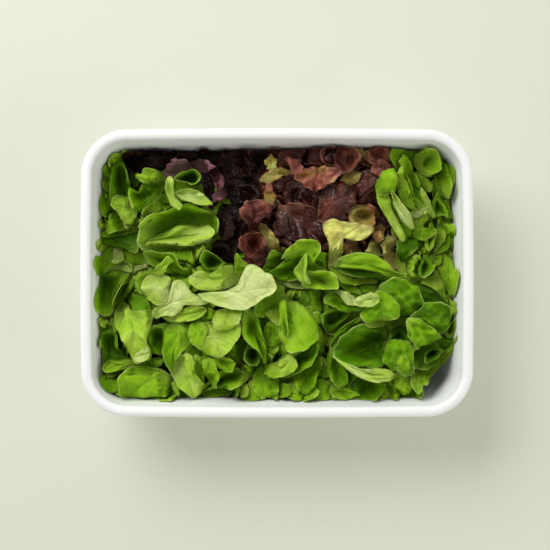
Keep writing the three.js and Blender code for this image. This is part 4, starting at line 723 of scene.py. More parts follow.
# %% Leaves in the middle and in front
MIDDLE = [
    (0.78, 4, [(27, 17, 5), (28, 8, 5), (27, 0, 4), (31, -9, 2), (22, -7, 3), (17, 0, 3), (19, 6, 4),
     (24, 12, 5)]),
    (0.7, -3, [(55, -14, 4), (56, -7, 5), (51, 0, 5), (44, 1, 4), (36, 1, 2), (28, -1, 1), (25, -7, 2),
     (28, -12, 3), (35, -14, 3), (45, -15, 4)]),
    (0.62, 5, [(40, 25, 5), (37, 29, 7), (30, 31, 8), (20, 29, 7), (12, 22, 6), (7, 15, 3), (16, 17, 2),
     (23, 21, 3), (29, 17, 1), (34, 11, 0), (38, 17, 2)]),
    (0.45, -8, [(-6, 0, 2), (4, 7, 4), (13, 16, 6), (21, 22, 7), (27, 19, 6), (32, 12, 5), (38, 6, 4),
     (45, 1, 3), (38, -4, -4), (26, -4, -6), (14, -6, -6), (3, -6, -3)]),
    (0.88, 2, [(1, -8, 2), (10, -6, 2), (18, -5, 2), (25, -10, 1), (33, -14, 0), (24, -15, 1), (15, -14, 2),
     (8, -11, 2)]),
    (0.62, 5, [(2, -30, 1), (3, -42, 2), (5, -54, 3), (8, -60, 3), (10, -55, 5), (9, -43, 6), (9, -32, 5),
     (6, -26, 1)]),
    (0.62, 5, [(16, -73, 2), (9, -69, 2), (5, -60, 2), (4, -48, 1), (4, -36, 0), (12, -30, -1), (22, -31, 0),
     (30, -38, 2), (36, -48, 3), (37, -58, 3), (32, -67, 3), (24, -72, 3)]),
    (0.75, 2, [(-8, -38, 1), (2, -34, 0), (6, -41, 1), (6, -51, 1), (-1, -48, 2), (-7, -43, 1)]),
    (0.57, 1, [(-18, -40, 2), (-10, -41, 2), (-1, -36, 2), (6, -27, 2), (6, -17, 1), (1, -12, -1),
     (-9, -20, -2), (-18, -28, -1), (-19, -34, 1)]),
    (0.56, -4, [(-13, -84, 1), (-17, -73, 3), (-24, -67, 3), (-31, -61, 3), (-34, -52, 3), (-33, -42, 2),
     (-27, -37, 0), (-19, -40, -1), (-16, -52, -1), (-13, -64, 0), (-11, -75, 1)]),
    (0.56, -4, [(3, -50, 2), (-5, -48, 1), (-12, -54, 1), (-12, -67, 1), (-3, -69, 2), (4, -63, 3)]),
    (0.4, -11, [(-27, -71, 1), (-31, -78, 1), (-28, -85, 1), (-22, -88, 1), (-16, -83, 1), (-18, -74, 0)]),
    (0.72, 2, [(-9, -98, 0), (-9, -89, 1), (0, -86, 2), (8, -81, 3), (15, -80, 3), (18, -86, 2),
     (15, -93, 1), (4, -98, 0)]),
    (0.55, -7, [(36, -62, 1), (38, -73, 3), (33, -84, 3), (25, -91, 3), (15, -97, 2), (7, -99, 1),
     (3, -92, 0), (4, -83, 0), (12, -78, 2), (20, -76, 2), (27, -72, 0)]),
    (0.6, 1, [(-14, -118, 0), (-21, -111, 1), (-22, -101, 3), (-16, -92, 4), (-12, -93, 2), (-10, -99, 0),
     (-2, -101, 1), (1, -109, 1), (-4, -116, 0)]),
    (0.56, -5, [(28, -114, 1), (20, -110, 1), (16, -103, 0), (16, -96, -2), (25, -92, -3), (31, -87, 0),
     (36, -82, 3), (41, -83, 4), (41, -91, 4), (37, -99, 3), (35, -109, 2)]),
    (0.85, 3, [(76, -28, 2), (70, -21, 3), (62, -17, 3), (57, -18, 2), (62, -24, 2), (68, -30, 1)]),
    (0.48, -2, [(80, -34, 0), (72, -36, 2), (62, -36, 3), (54, -32, 3), (46, -27, 3), (50, -21, 3),
     (57, -18, 2), (64, -25, 1), (72, -31, 0)]),
    (0.62, 5, [(121, -3, 1), (112, 1, 3), (106, 5, 4), (99, 11, 5), (90, 16, 6), (78, 18, 6), (68, 16, 5),
     (61, 10, 3), (57, 6, 2), (68, 5, 2), (82, 4, 2), (96, 1, 0), (108, -4, 0)]),
    (0.36, -5, [(114, -6, 0), (104, -7, 0), (92, -4, -2), (78, -3, -2), (66, 0, -2), (62, 5, -4),
     (80, 7, -6), (98, 5, -5)]),
    (0.66, 2, [(52, 4, 2), (60, 2, 3), (68, -4, 3), (76, -7, 3), (84, -3, 3), (94, -3, 3), (94, -9, -1),
     (82, -10, -2), (72, -11, -2), (62, -8, -1)]),
    (0.6, 1, [(62, -10, 1), (70, -10, 1), (78, -15, 1), (80, -20, 0), (72, -19, 0), (65, -16, 0)]),
    (0.5, -4, [(82, -10, 1), (94, -9, 1), (95, -16, 1), (88, -19, 1), (80, -17, 1)]),
    (0.45, -12, [(46, -51, 2), (44, -42, 3), (50, -36, 3), (60, -34, 2), (69, -36, 1), (66, -43, -2),
     (58, -50, -2), (51, -55, 1)]),
    (0.64, 3, [(47, -55, 1), (57, -49, 3), (66, -42, 4), (74, -40, 4), (71, -48, 2), (63, -56, 1),
     (54, -59, 0)]),
    (0.5, -5, [(60, -108, 1), (53, -101, 1), (49, -90, 2), (50, -78, 3), (54, -68, 3), (58, -78, 0),
     (62, -87, -2), (66, -96, 0), (65, -105, 1)]),
    (0.46, -4, [(75, -92, 1), (74, -102, 1), (66, -105, 1), (63, -96, -2), (62, -86, -2), (70, -88, 0)]),
    (0.62, -3, [(77, -116, 1), (70, -112, 2), (60, -109, 2), (52, -110, 1), (53, -116, 1), (59, -120, 1),
     (68, -121, 1)]),
    (0.42, -8, [(88, -122, 3), (97, -117, 4), (102, -109, 4), (102, -102, 3), (92, -99, 0), (80, -99, -2),
     (76, -108, 0), (77, -120, 2)]),
    (0.52, 1, [(-4, 21, 3), (3, 18, 3), (8, 13, 1), (2, 8, -1), (-7, 6, -1), (-9, 13, 2)]),
    (0.6, -5, [(-14, 4, 1), (-8, 9, 2), (0, 9, 1), (4, 4, 0), (-2, 0, 1), (-9, 0, 2)]),
]

# %% The butterhead at the front right
BUTTERHEAD = [
    (0.96, 7, [(72, -28, 5), (78, -22, 6), (88, -19, 7), (96, -20, 7), (95, -28, 6), (88, -32, 6),
     (79, -32, 5)]),
    (0.6, 6, [(152, -66, 2), (142, -69, 2), (131, -68, 2), (124, -61, 3), (123, -52, 4), (125, -44, 5),
     (132, -43, 5), (141, -48, 4), (150, -55, 3), (156, -61, 3)]),
    (0.4, 4, [(166, -42, 3), (164, -32, 3), (157, -29, 3), (147, -28, 4), (138, -31, 4), (130, -37, 3),
     (125, -42, 2), (134, -46, 1), (143, -51, 0), (151, -56, -1), (159, -58, 0), (164, -52, 2)]),
    (0.56, 6, [(93, -20, 3), (84, -33, 2), (80, -41, 1), (84, -47, 1), (100, -45, 2), (115, -43, 2),
     (117, -34, 4), (111, -26, 5), (104, -19, 5), (98, -17, 4)]),
    (0.44, 3, [(139, -29, 2), (134, -15, 3), (125, -8, 4), (115, -5, 5), (104, -7, 5), (96, -13, 4),
     (93, -20, 2), (102, -24, -3), (110, -34, -6), (116, -42, -6), (128, -41, -2), (135, -36, 1)]),
    (0.82, 4, [(83, -50, 4), (95, -46, 5), (108, -43, 6), (120, -42, 6), (127, -44, 5), (121, -48, 2),
     (108, -49, 1), (95, -52, 1)]),
    (0.68, 6, [(125, -84, 5), (121, -79, 5), (114, -81, 5), (111, -88, 4), (117, -93, 4), (125, -91, 4)]),
    (0.52, 5, [(107, -65, 3), (102, -76, 4), (102, -86, 3), (107, -91, 2), (116, -95, 2), (125, -98, 1),
     (130, -96, 1), (130, -85, 2), (128, -73, 3), (124, -66, 2), (115, -64, 2)]),
    (0.32, -8, [(118, -51, 5), (110, -57, 5), (106, -65, 4), (110, -69, 1), (119, -69, 0), (127, -66, 2),
     (124, -54, 5)]),
    (0.95, 8, [(58, -82, 7), (68, -88, 7), (80, -90, 7), (92, -90, 7), (102, -91, 6), (110, -94, 5),
     (113, -99, 5), (106, -103, 5), (94, -103, 6), (82, -100, 7), (70, -94, 7)]),
    (0.42, (98, -69, -11), [(54, -75, 6), (57, -66, 7), (63, -58, 7), (72, -53, 6), (82, -50, 5),
     (95, -49, 3), (105, -53, 0), (107, -64, -4), (105, -78, -4), (102, -87, 2), (94, -90, 5), (83, -90, 6),
     (72, -89, 6), (63, -86, 6), (57, -81, 6)]),
    (0.52, 1, [(53, -79, 2), (55, -70, 4), (60, -62, 4), (68, -54, 4), (79, -47, 4), (80, -42, 0),
     (70, -46, -2), (58, -56, -3), (52, -68, -2)]),
    (0.32, -7, [(158, -75, 3), (152, -82, 3), (143, -86, 3), (140, -80, 3), (147, -73, 4), (154, -71, 4)]),
    (0.54, -3, [(153, -67, 4), (143, -72, 4), (134, -80, 4), (131, -90, 3), (142, -93, 2), (152, -90, 3),
     (160, -81, 3), (164, -75, 3), (157, -72, 3)]),
    (0.66, 0, [(178, -58, 8), (176, -68, 7), (169, -78, 6), (158, -91, 4), (149, -99, 2), (140, -108, 1),
     (133, -116, -1), (129, -108, -1), (131, -97, 0), (141, -92, 0), (152, -89, 1), (160, -80, 2),
     (168, -70, 4)]),
    (0.7, 1, [(125, -118, -1), (118, -114, 0), (113, -107, 1), (112, -97, 2), (122, -95, 1), (131, -98, 1),
     (131, -107, 0)]),
    (0.55, -5, [(174, -43, 4), (168, -47, 3), (162, -54, 2), (162, -60, 1), (168, -62, 1), (173, -56, 3)]),
    (0.45, -3, [(178, -60, 5), (168, -60, 1), (158, -58, 0), (149, -58, -3), (150, -68, -4), (160, -76, -4),
     (169, -69, 0)]),
    (0.55, 0, [(128, -121, -2), (124, -117, -2), (125, -107, -1), (131, -107, -1), (132, -118, -2)]),
]

# %% Leaves at the right
RIGHT = [
    (0.76, 4, [(109, 77, 4), (114, 71, 5), (120, 63, 5), (126, 54, 4), (130, 45, 2), (126, 44, 1),
     (119, 51, 1), (113, 62, 1), (109, 71, 2)]),
    (0.52, 5, [(109, 99, 4), (101, 95, 4), (96, 87, 4), (95, 79, 2), (100, 75, -1), (107, 76, -2),
     (113, 80, -1), (114, 92, 2)]),
    (0.66, 6, [(97, 79, 2), (97, 67, 3), (103, 56, 3), (110, 44, 3), (118, 33, 1), (121, 38, -1),
     (116, 50, -3), (110, 62, -4), (107, 74, -3), (102, 79, 0)]),
    # Painted shade: the shaded hollow under the leaves above is a dark leaf of low tone.
    (0.38, -6, [(128, 48, -1), (126, 36, -2), (118, 33, -2), (112, 48, -5), (106, 62, -6), (107, 74, -4),
     (116, 64, -2)]),
    (0.78, 3, [(147, 63, 2), (139, 61, 3), (131, 57, 4), (129, 53, 3), (136, 54, 2), (142, 58, 2)]),
    (0.6, 3, [(119, 100, 4), (115, 93, 4), (116, 82, 4), (119, 72, 4), (125, 65, 3), (134, 59, 2),
     (132, 67, -1), (128, 78, -3), (123, 89, 0)]),
    (0.74, 3, [(139, 80, 4), (144, 73, 4), (148, 63, 3), (151, 54, 1), (147, 55, 0), (142, 66, 0),
     (138, 75, 1)]),
    (0.5, -7, [(123, 112, 3), (118, 106, 4), (121, 99, 4), (126, 88, 4), (129, 76, 4), (134, 66, 3),
     (141, 62, 3), (147, 63, 1), (145, 72, -3), (138, 82, -5), (133, 95, -5), (129, 106, -1)]),
    (0.56, -6, [(152, 116, 4), (144, 117, 4), (137, 115, 4), (133, 109, 4), (136, 102, 4), (142, 96, 4),
     (148, 94, 4), (154, 98, 4), (155, 108, 4)]),
    (0.85, 3, [(150, 122, 1), (142, 119, 2), (136, 115, 4), (144, 117, 4), (152, 116, 4)]),
    (0.52, 1, [(155, 111, 3), (161, 106, 4), (164, 95, 4), (165, 84, 4), (164, 73, 2), (159, 79, -3),
     (157, 92, -3), (154, 102, 0)]),
    (0.55, 1, [(136, 98, 1), (145, 92, 3), (150, 83, 2), (146, 79, -1), (140, 85, -3), (135, 92, -2)]),
    (0.46, 0, [(113, 123, 2), (109, 114, 3), (111, 106, 3), (116, 98, 1), (120, 107, -3), (125, 114, -3),
     (122, 122, 0)]),
    (0.44, -1, [(125, 121, -1), (135, 121, 0), (141, 118, 0), (134, 107, -2), (131, 97, -4),
     (124, 106, -3)]),
    (0.5, -7, [(155, 75, 4), (151, 70, 3), (150, 58, 2), (154, 54, 0), (159, 56, 0), (163, 55, 2),
     (161, 65, 3), (158, 71, 4)]),
    (0.55, 1, [(165, 70, 2), (168, 62, 2), (169, 53, 2), (163, 53, 1), (161, 61, 0), (162, 68, 0)]),
    (0.52, 0, [(128, 50, 3), (134, 46, 4), (142, 43, 4), (150, 41, 2), (148, 35, 0), (140, 32, -2),
     (133, 34, -2), (128, 41, -1)]),
    (0.56, -5, [(148, 48, 2), (153, 41, 2), (151, 30, 2), (146, 21, 1), (142, 30, 2), (145, 40, 2)]),
    (0.56, -4, [(158, 46, 2), (162, 37, 2), (158, 27, 1), (152, 22, 1), (153, 33, 2), (155, 42, 2)]),
    (0.5, -3, [(165, 34, 1), (166, 26, 1), (159, 20, 0), (152, 20, 0), (157, 27, 0)]),
    (0.36, -3, [(117, 31, 0), (127, 32, 1), (140, 31, 1), (136, 24, -3), (129, 19, -4), (122, 12, -5),
     (117, 19, -3)]),
    (0.7, 3, [(116, 24, 3), (121, 18, 4), (124, 10, 4), (124, 0, 3), (122, -6, 1), (117, -4, 0), (116, 6, 0),
     (115, 16, 1)]),
    (0.42, -6, [(143, 17, 2), (138, 10, 2), (136, 2, 2), (138, -4, 1), (144, -2, 1), (149, 4, 2),
     (149, 12, 2)]),
    (0.55, -6, [(148, 16, 3), (153, 19, 3), (159, 16, 2), (157, 9, 1), (152, 7, 1), (148, 10, 2)]),
    (0.55, 1, [(159, 18, 2), (165, 14, 3), (170, 6, 3), (171, -6, 3), (168, -22, 2), (162, -12, -2),
     (158, 0, -3), (155, 9, -2)]),
    (0.64, 3, [(154, 1, 3), (149, -4, 3), (139, -9, 1), (147, -13, 2), (155, -19, 1), (164, -27, 1),
     (161, -15, 1), (158, -6, 2)]),
    (0.3, -3, [(129, -11, -1), (140, -9, -1), (148, -14, -2), (156, -20, -2), (164, -28, -3), (160, -31, -4),
     (145, -31, -5), (136, -26, -5)]),
]

# %% Bronze leaves
BRONZE = [
    (0.6, 4, [(36, 80, 5), (27, 85, 4), (18, 92, 3), (25, 96, 3), (33, 99, 3), (42, 101, 3), (51, 100, 4),
     (56, 96, 4), (53, 89, 5), (46, 84, 5)]),
    (0.98, 2, [(52, 8, 3), (51, 18, 4), (51, 27, 4), (48, 36, 4), (47, 44, 4), (54, 49, 5), (65, 47, 5),
     (76, 46, 5), (87, 41, 4), (81, 33, 3), (72, 31, 1), (64, 33, -1), (61, 29, 1), (63, 22, 2),
     (60, 15, 3)]),
    (0.3, 5, [(72, 78, 3), (64, 84, 3), (55, 84, 3), (46, 78, 3), (43, 66, 2), (42, 52, 0), (51, 50, -1),
     (60, 56, -1), (69, 63, 0), (74, 70, 2)]),
    (0.72, -7, [(96, 54, 4), (90, 46, 4), (82, 44, 5), (74, 45, 5), (70, 52, 5), (71, 60, 4), (79, 64, 3),
     (89, 64, 2), (96, 60, 3)]),
    (0.44, -4, [(-22, 15, 3), (-14, 18, 4), (-11, 26, 3), (-15, 34, 1), (-23, 37, 1), (-31, 34, 3),
     (-34, 26, 4), (-30, 18, 4)]),
    (0.42, 3, [(-8, 64, 4), (-20, 67, 3), (-31, 63, 4), (-33, 54, 4), (-27, 48, 3), (-25, 40, 2),
     (-20, 34, 1), (-18, 44, 0), (-14, 53, -1), (-8, 57, 1)]),
    (0.78, 2, [(1, 24, 2), (-8, 26, 2), (-13, 35, 1), (-18, 45, 1), (-12, 46, 3), (-5, 38, 4), (0, 31, 4)]),
    (0.66, 4, [(-8, 86, 4), (-4, 78, 4), (-2, 70, 3), (-7, 66, 2), (-12, 70, 1), (-11, 79, 3)]),
    (0.8, 3, [(10, 97, 4), (2, 99, 4), (-7, 97, 3), (-15, 91, 2), (-10, 87, 0), (-2, 89, 1), (5, 93, 3)]),
    (0.88, 2, [(-6, 113, 2), (-11, 107, 1), (-8, 100, 0), (-2, 101, 1), (-1, 108, 2)]),
    (0.5, 3, [(17, 92, 1), (23, 96, 2), (22, 105, 2), (14, 110, 3), (8, 110, 2), (13, 102, 1)]),
    (0.38, 1, [(25, 117, 0), (16, 120, 1), (7, 117, 2), (0, 110, 2), (2, 103, 0), (11, 106, -2),
     (21, 107, -2)]),
    (0.42, -4, [(62, 123, 3), (57, 114, 3), (57, 102, 3), (61, 95, 3), (69, 99, 2), (76, 106, 2),
     (77, 114, 2), (71, 120, 2)]),
    (0.8, 1, [(70, 121, 2), (78, 122, 2), (83, 117, 1), (80, 109, -1), (74, 110, -1)]),
    (0.75, 1, [(62, 88, 1), (66, 97, 3), (74, 99, 2), (80, 95, 0), (75, 87, 0), (68, 85, 0)]),
    (0.55, 2, [(92, 102, 3), (97, 107, 4), (105, 106, 4), (114, 99, 2), (105, 96, 0), (96, 93, 0)]),
    (0.6, -3, [(88, 120, 1), (100, 122, 1), (108, 117, 1), (106, 107, -1), (94, 106, -2), (86, 111, 0)]),
    (0.22, -2, [(40, 30, 0), (26, 31, -1), (10, 34, 0), (2, 43, 0), (2, 56, 0), (12, 63, 1), (28, 62, 1),
     (41, 56, 0), (45, 42, 0)]),
    (0.35, -3, [(30, 82, 1), (38, 78, 2), (41, 68, 2), (34, 62, 0), (26, 68, -2), (24, 77, -1)]),
    (0.28, -3, [(22, 87, 1), (12, 85, 1), (8, 74, 1), (14, 64, 0), (24, 64, -2), (25, 77, -1)]),
    (0.82, 1, [(103, 45, 2), (97, 46, 2), (92, 40, 1), (94, 31, -1), (101, 33, 0)]),
    (0.95, 1, [(103, 18, 1), (101, 27, 2), (106, 34, 3), (113, 35, 3), (115, 29, 2), (110, 23, 0)]),
    (0.8, 0, [(107, 4, 1), (104, 12, 2), (108, 19, 2), (115, 18, 2), (117, 10, 1), (114, 3, 0)]),
    (0.95, 0, [(84, 17, 1), (88, 26, 2), (93, 32, 2), (99, 27, 1), (98, 16, 0), (91, 14, -1)]),
    (0.7, -2, [(68, 18, 0), (63, 26, 1), (69, 31, 1), (77, 28, 1), (79, 19, -1)]),
]

# %% Dark red leaves
DARK_RED = [
    (0.98, 2, [(-110, 94, 3), (-106, 103, 4), (-98, 108, 3), (-88, 107, 2), (-84, 100, 1), (-87, 94, 1),
     (-96, 91, 2), (-104, 88, 2)]),
    (0.85, 2, [(-62, 102, 3), (-68, 108, 3), (-76, 110, 2), (-83, 106, 1), (-80, 99, 0), (-71, 98, 1)]),
    (0.72, 3, [(-55, 80, 2), (-61, 88, 3), (-65, 98, 4), (-61, 104, 3), (-56, 98, 1), (-51, 88, 1)]),
    (0.5, 3, [(-45, 88, 2), (-48, 95, 3), (-52, 101, 3), (-54, 94, 1), (-50, 85, 1)]),
    (0.8, 3, [(-62, 72, 3), (-60, 78, 4), (-51, 82, 4), (-48, 77, 2), (-53, 71, 1), (-58, 69, 1)]),
    (0.58, 2, [(-52, 116, 3), (-57, 110, 3), (-58, 104, 1), (-53, 105, 0), (-50, 111, 2)]),
    (0.22, -3, [(-25, 98, 2), (-27, 112, 2), (-36, 118, 1), (-47, 117, 2), (-50, 106, 2), (-43, 96, 3),
     (-33, 95, 3)]),
    (0.15, -5, [(-19, 74, 2), (-22, 88, 3), (-33, 93, 3), (-43, 90, 2), (-47, 78, 2), (-40, 70, 2),
     (-28, 68, 2)]),
    (0.3, 2, [(-44, 56, 3), (-52, 54, 2), (-55, 44, 1), (-51, 34, 0), (-43, 36, 1), (-41, 46, 2)]),
    (0.12, -4, [(-30, 62, 2), (-41, 66, 2), (-52, 62, 2), (-58, 54, 1), (-54, 48, 1), (-40, 50, 1),
     (-31, 54, 1)]),
    (0.12, -4, [(-36, 30, 1), (-40, 40, 2), (-50, 32, 1), (-58, 30, 2), (-60, 20, 1), (-52, 13, 1),
     (-42, 16, 1)]),
    (0.32, 0, [(-82, 119, 1), (-92, 120, 1), (-97, 114, 1), (-93, 108, 0), (-84, 109, 0), (-79, 113, 1)]),
    (0.28, -1, [(-96, 114, 0), (-108, 113, 1), (-119, 112, 0), (-126, 109, 0), (-120, 103, -1),
     (-108, 104, -1), (-98, 107, -1)]),
    (0.1, -1, [(-130, 109, 1), (-140, 109, 0), (-146, 103, 0), (-144, 96, -1), (-135, 96, 0),
     (-127, 100, 1)]),
    (0.15, -2, [(-60, 115, 0), (-70, 114, 0), (-78, 113, 0), (-76, 108, -1), (-66, 108, 0), (-58, 108, 0)]),
    (0.15, -3, [(-20, 116, 0), (-26, 108, 1), (-24, 100, 1), (-16, 98, 0), (-12, 106, 0), (-13, 114, 0)]),
    (0.15, -3, [(-66, 92, 0), (-73, 92, 0), (-74, 80, 0), (-68, 68, 0), (-62, 66, 0), (-62, 80, -1)]),
]
# %% [markdown]
# ## Filling in
#
# Between and under the measured leaves the heap is full of leaves that show only as edges and dark
# hollows. They come from a rule: a jittered grid over the tub in a few layers, each leaf with its form,
# heading and lean drawn from a seeded generator, so that every run gives the same heap.

# %% Which kind of leaf lies where
RED_FORMS = ["frill", "curl", "frill", "cup"]
KINDS = {
    # the forms that the leaves of a kind have, and what their tones are scaled by
    "green": (["cup", "curl", "flat", "curl", "cup", "frill"], 1.0),
    "dark": (RED_FORMS, 0.55),
    "bronze": (RED_FORMS, 0.55),
}
RED_PATCH = np.array([
    [112, 140], [-148, 140], [-148, 98], [-84, 95], [-60, 68], [-52, 28], [-27, 12],
    [44, 14], [70, 6], [117, 20], [118, 34], [96, 76], [95, 98],
])
DARK_EDGE, DARK_LEAN = (-16, 70), 0.15
BARE_EDGE, BARE_MARGIN = ((130, -122), (178, -62)), 11.0
NEAR = 4  # how many cells to each side open_share looks


def inside(patch, x, y):
    """Whether (x, y) is in the patch: it is when a line to the right crosses its edges an odd number of
    times."""
    a, b = patch, np.roll(patch, -1, 0)
    crosses = (a[:, 1] > y) != (b[:, 1] > y)
    at = (b[:, 0] - a[:, 0]) * (y - a[:, 1]) / np.where(crosses, b[:, 1] - a[:, 1], 1) + a[:, 0]
    return np.count_nonzero(crosses & (x < at)) % 2 == 1


def kind_at(x, y):
    """In the red patch the leaves are dark red on the left and bronze on the right. The border between them
    runs straight back from DARK_EDGE, and in front of it leans to the left by DARK_LEAN."""
    if not inside(RED_PATCH, x, y):
        return "green"
    border = DARK_EDGE[0] - DARK_LEAN * max(DARK_EDGE[1] - y, 0)
    return "dark" if x < border else "bronze"


def bare(x, y):
    """Whether (x, y) is in the front right corner, where the heap falls away: right of the line BARE_EDGE or
    less than BARE_MARGIN to its left."""
    (ax, ay), (bx, by) = BARE_EDGE
    along = np.hypot(bx - ax, by - ay)
    return ((bx - ax) * (y - ay) - (by - ay) * (x - ax)) / along < BARE_MARGIN


def open_share(heap, x, y):
    """The share of the cells within NEAR of (x, y) over which no leaf lies yet."""
    i, j = cell_of(np.array([[x, y]]))
    near = heap[max(i[0] - NEAR, 0):i[0] + NEAR + 1, max(j[0] - NEAR, 0):j[0] + NEAR + 1]
    return np.mean(near > CEILING)


def flow(x, y):
    """The way most leaves near (x, y) run, so that they lie in sheaves: a slow change over the tub."""
    return 2.2 * np.sin(x / 37 + 1.3) + 1.9 * np.cos(y / 31 + 0.4)


# %% Fill leaves
ROW_STEP, JITTER = 0.87, 0.35  # shares of the spacing: from row to row, and how far a leaf strays
WIDTHS = (0.6, 0.85)  # of a layer's leaves, as shares of their lengths
UP_SPREAD, TURN_SPREAD = 4, 1.6  # how far their heights and their headings differ
WALL_WIDTH, WALL_ROLL = 0.8, -0.3  # of the leaves along the wall
WALL_UP, WALL_TURN, WALL_ROLLS, WALL_LEANS = 5, 0.7, 0.5, 0.4  # the same, and their rolls and leans
Layer = namedtuple("Layer", "spacing over lengths rolls leans tones highest least_open reach clear")


def between(limits, share):
    """The value at this share of the way from the first limit to the second."""
    return limits[0] + (limits[1] - limits[0]) * share


def spread(width, share):
    """A share from 0 to 1 as a value from -width / 2 to width / 2."""
    return width * (share - 0.5)


def plant(piles, rng, place, form, length, width, angles, tone, top, reach):
    """Adds a blade with its middle at the place (x, y, z) to the pile of the kind that lies there. form picks
    one of the kind's forms, width is a share of the length, and angles are its roll, lean and heading."""
    kind = kind_at(place[0], place[1])
    forms, tone_scale = KINDS[kind]
    shape = blade(forms[int(form * len(forms))], length, length * width, FILL_GRID, rng)
    shape = shape @ rotation(*angles).T + place
    piles[kind].add(shape, FILL_GRID, tone * tone_scale, top, reach)


def fill_layer(piles, rng, layer):
    """Plants a leaf near each node of a hexagonal grid over the tub, none of it more than layer.highest over
    the heap's top, where at least the share layer.least_open of the heap round it was open before the layer.
    Each leaf is rolled about its midrib, then its tip is lifted by the lean. Its middle stays layer.clear
    from the wall. The leaves above press it down up to layer.reach cells past their margins."""
    before = lowest.copy()
    row_step = layer.spacing * ROW_STEP
    for j in range(int(WIDTH / row_step) + 1):
        y0 = row_step * (j + 0.5) - WIDTH / 2
        for i in range(int(LENGTH / layer.spacing) + 1):
            x0 = layer.spacing * (i + 0.5 * (j % 2)) - LENGTH / 2
            x, y = np.array([x0, y0]) + rng.uniform(-JITTER, JITTER, 2) * layer.spacing
            size, form, up, turn, slim, lift, roll, tone, side = rng.uniform(0, 1, 9)
            if wall_distance(np.array([[x, y, SHOULDER]]))[0][0] > -layer.clear:
                continue
            if bare(x, y) or open_share(before, x, y) < layer.least_open:
                continue
            top = heap_top(x, y)
            place = [x, y, top + layer.over + spread(UP_SPREAD, up)]
            roll = np.radians(between(layer.rolls, roll)) * np.sign(side - 0.5)
            lean = np.radians(between(layer.leans, lift))
            angles = (roll, lean, flow(x, y) + spread(TURN_SPREAD, turn))
            length, width = between(layer.lengths, size), between(WIDTHS, slim)
            tone = between(layer.tones, tone)
            plant(piles, rng, place, form, length, width, angles, tone, top + layer.highest, layer.reach)


def wall_layer(piles, rng, spacing, inset, over, lengths, tones):
    """Lays leaves along the wall, so near to it that their outer halves turn up along it."""
    around = outlines([inner_inset(SHOULDER) + inset], corner_steps=20, side_steps=60)[0]
    _, length = lengths_along(around)
    for at in np.arange(0, length[-1], spacing):
        k = min(np.searchsorted(length, at, side="right") - 1, len(around) - 1)
        (x, y), (x1, y1) = around[k], around[(k + 1) % len(around)]
        size, form, turn, roll, lift, up = rng.uniform(0, 1, 6)
        if bare(x, y):
            continue
        place = [x, y, heap_top(x, y) + over + spread(WALL_UP, up)]
        heading = np.arctan2(y1 - y, x1 - x) + spread(WALL_TURN, turn)
        angles = (WALL_ROLL + spread(WALL_ROLLS, roll), spread(WALL_LEANS, lift), heading)
        tone = between(tones, form)
        plant(piles, rng, place, form, between(lengths, size), WALL_WIDTH, angles, tone, CEILING, 1)


# %% [markdown]
# ## What a leaf looks like up close
#
# A lettuce leaf is thin enough for light to pass through it. So its shader mixes a satin surface with
# a translucent one. The colour starts from the leaf's own tone, gets paler towards the stalk and along
# the midrib and side veins, and has a thin pale line at the margin. That line is partly the leaf's own
# paler edge and partly a painted highlight where the edge catches the light. Deep in the heap the colour
# is painted darker, as painted shade. The veins are drawn in the leaf's own UV map, where the midrib
# runs along the middle: side veins branch off at an angle, so they are stripes of u minus a share of the
# distance from the midrib.

# %% Node helpers
class Nodes:
    """A short way to write a node tree: every call adds one node and returns its output."""

    def __init__(self, name):
        self.material = bpy.data.materials.new(name)
        self.material.use_nodes = True
        self.tree = self.material.node_tree
        self.tree.nodes.clear()

    def add(self, kind, inputs=(), out=0, **settings):
        """One node: inputs maps its sockets to outputs or constants, and settings are its own properties."""
        node = self.tree.nodes.new(kind)
        for key, value in settings.items():
            setattr(node, key, value)
        for key, value in dict(inputs).items():
            socket = node.inputs[key]
            if isinstance(value, bpy.types.NodeSocket):
                self.tree.links.new(value, socket)
            else:
                socket.default_value = value
        return node.outputs[out]

    def place(self):
        """The point on the piece, in metres."""
        return self.add("ShaderNodeTexCoord", out=3)

    def number(self, name):
        """A number that put_mesh stored for each point."""
        return self.add("ShaderNodeAttribute", out=2, attribute_name=name)

    def axes(self, vector):
        """The outputs x, y and z of a vector."""
        return self.add("ShaderNodeSeparateXYZ", {0: vector}).node.outputs

    def math(self, operation, a, b=0.0, c=0.0, clamp=False):
        """a, b and c combined by the operation."""
        return self.add("ShaderNodeMath", {0: a, 1: b, 2: c}, operation=operation, use_clamp=clamp)

    def noise(self, vector, scale, detail):
        """Soft noise, with the number of its blotches to a unit of the vector."""
        return self.add("ShaderNodeTexNoise", {"Vector": vector, "Scale": scale, "Detail": detail})

    def fade(self, value, start, end, low=0.0, high=1.0, kind="SMOOTHSTEP"):
        """Goes from low, where the value is start, to high, where it is end."""
        inputs = {"Value": value, "From Min": start, "From Max": end, "To Min": low, "To Max": high}
        return self.add("ShaderNodeMapRange", inputs, interpolation_type=kind)

    def ramp(self, value, stops):
        """A colour ramp from (position, colour) stops."""
        output = self.add("ShaderNodeValToRGB", {0: value})
        ramp = output.node.color_ramp
        while len(ramp.elements) < len(stops):
            ramp.elements.new(0.5)
        for element, (position, colour) in zip(ramp.elements, stops):
            element.position = position
            element.color = (*colour, 1.0)
        return output

    def mix(self, factor, a, b, blend="MIX"):
        """The colour a with this share of b, which is an output or a constant colour."""
        if not isinstance(b, bpy.types.NodeSocket):
            b = (*b, 1.0)
        inputs = {0: factor, 6: a, 7: b}
        return self.add("ShaderNodeMix", inputs, out=2, data_type="RGBA", blend_type=blend)

    def finish(self, surface):
        """Makes the surface the output of the material."""
        node = self.tree.nodes.new("ShaderNodeOutputMaterial")
        self.tree.links.new(surface, node.inputs["Surface"])
        return self.material


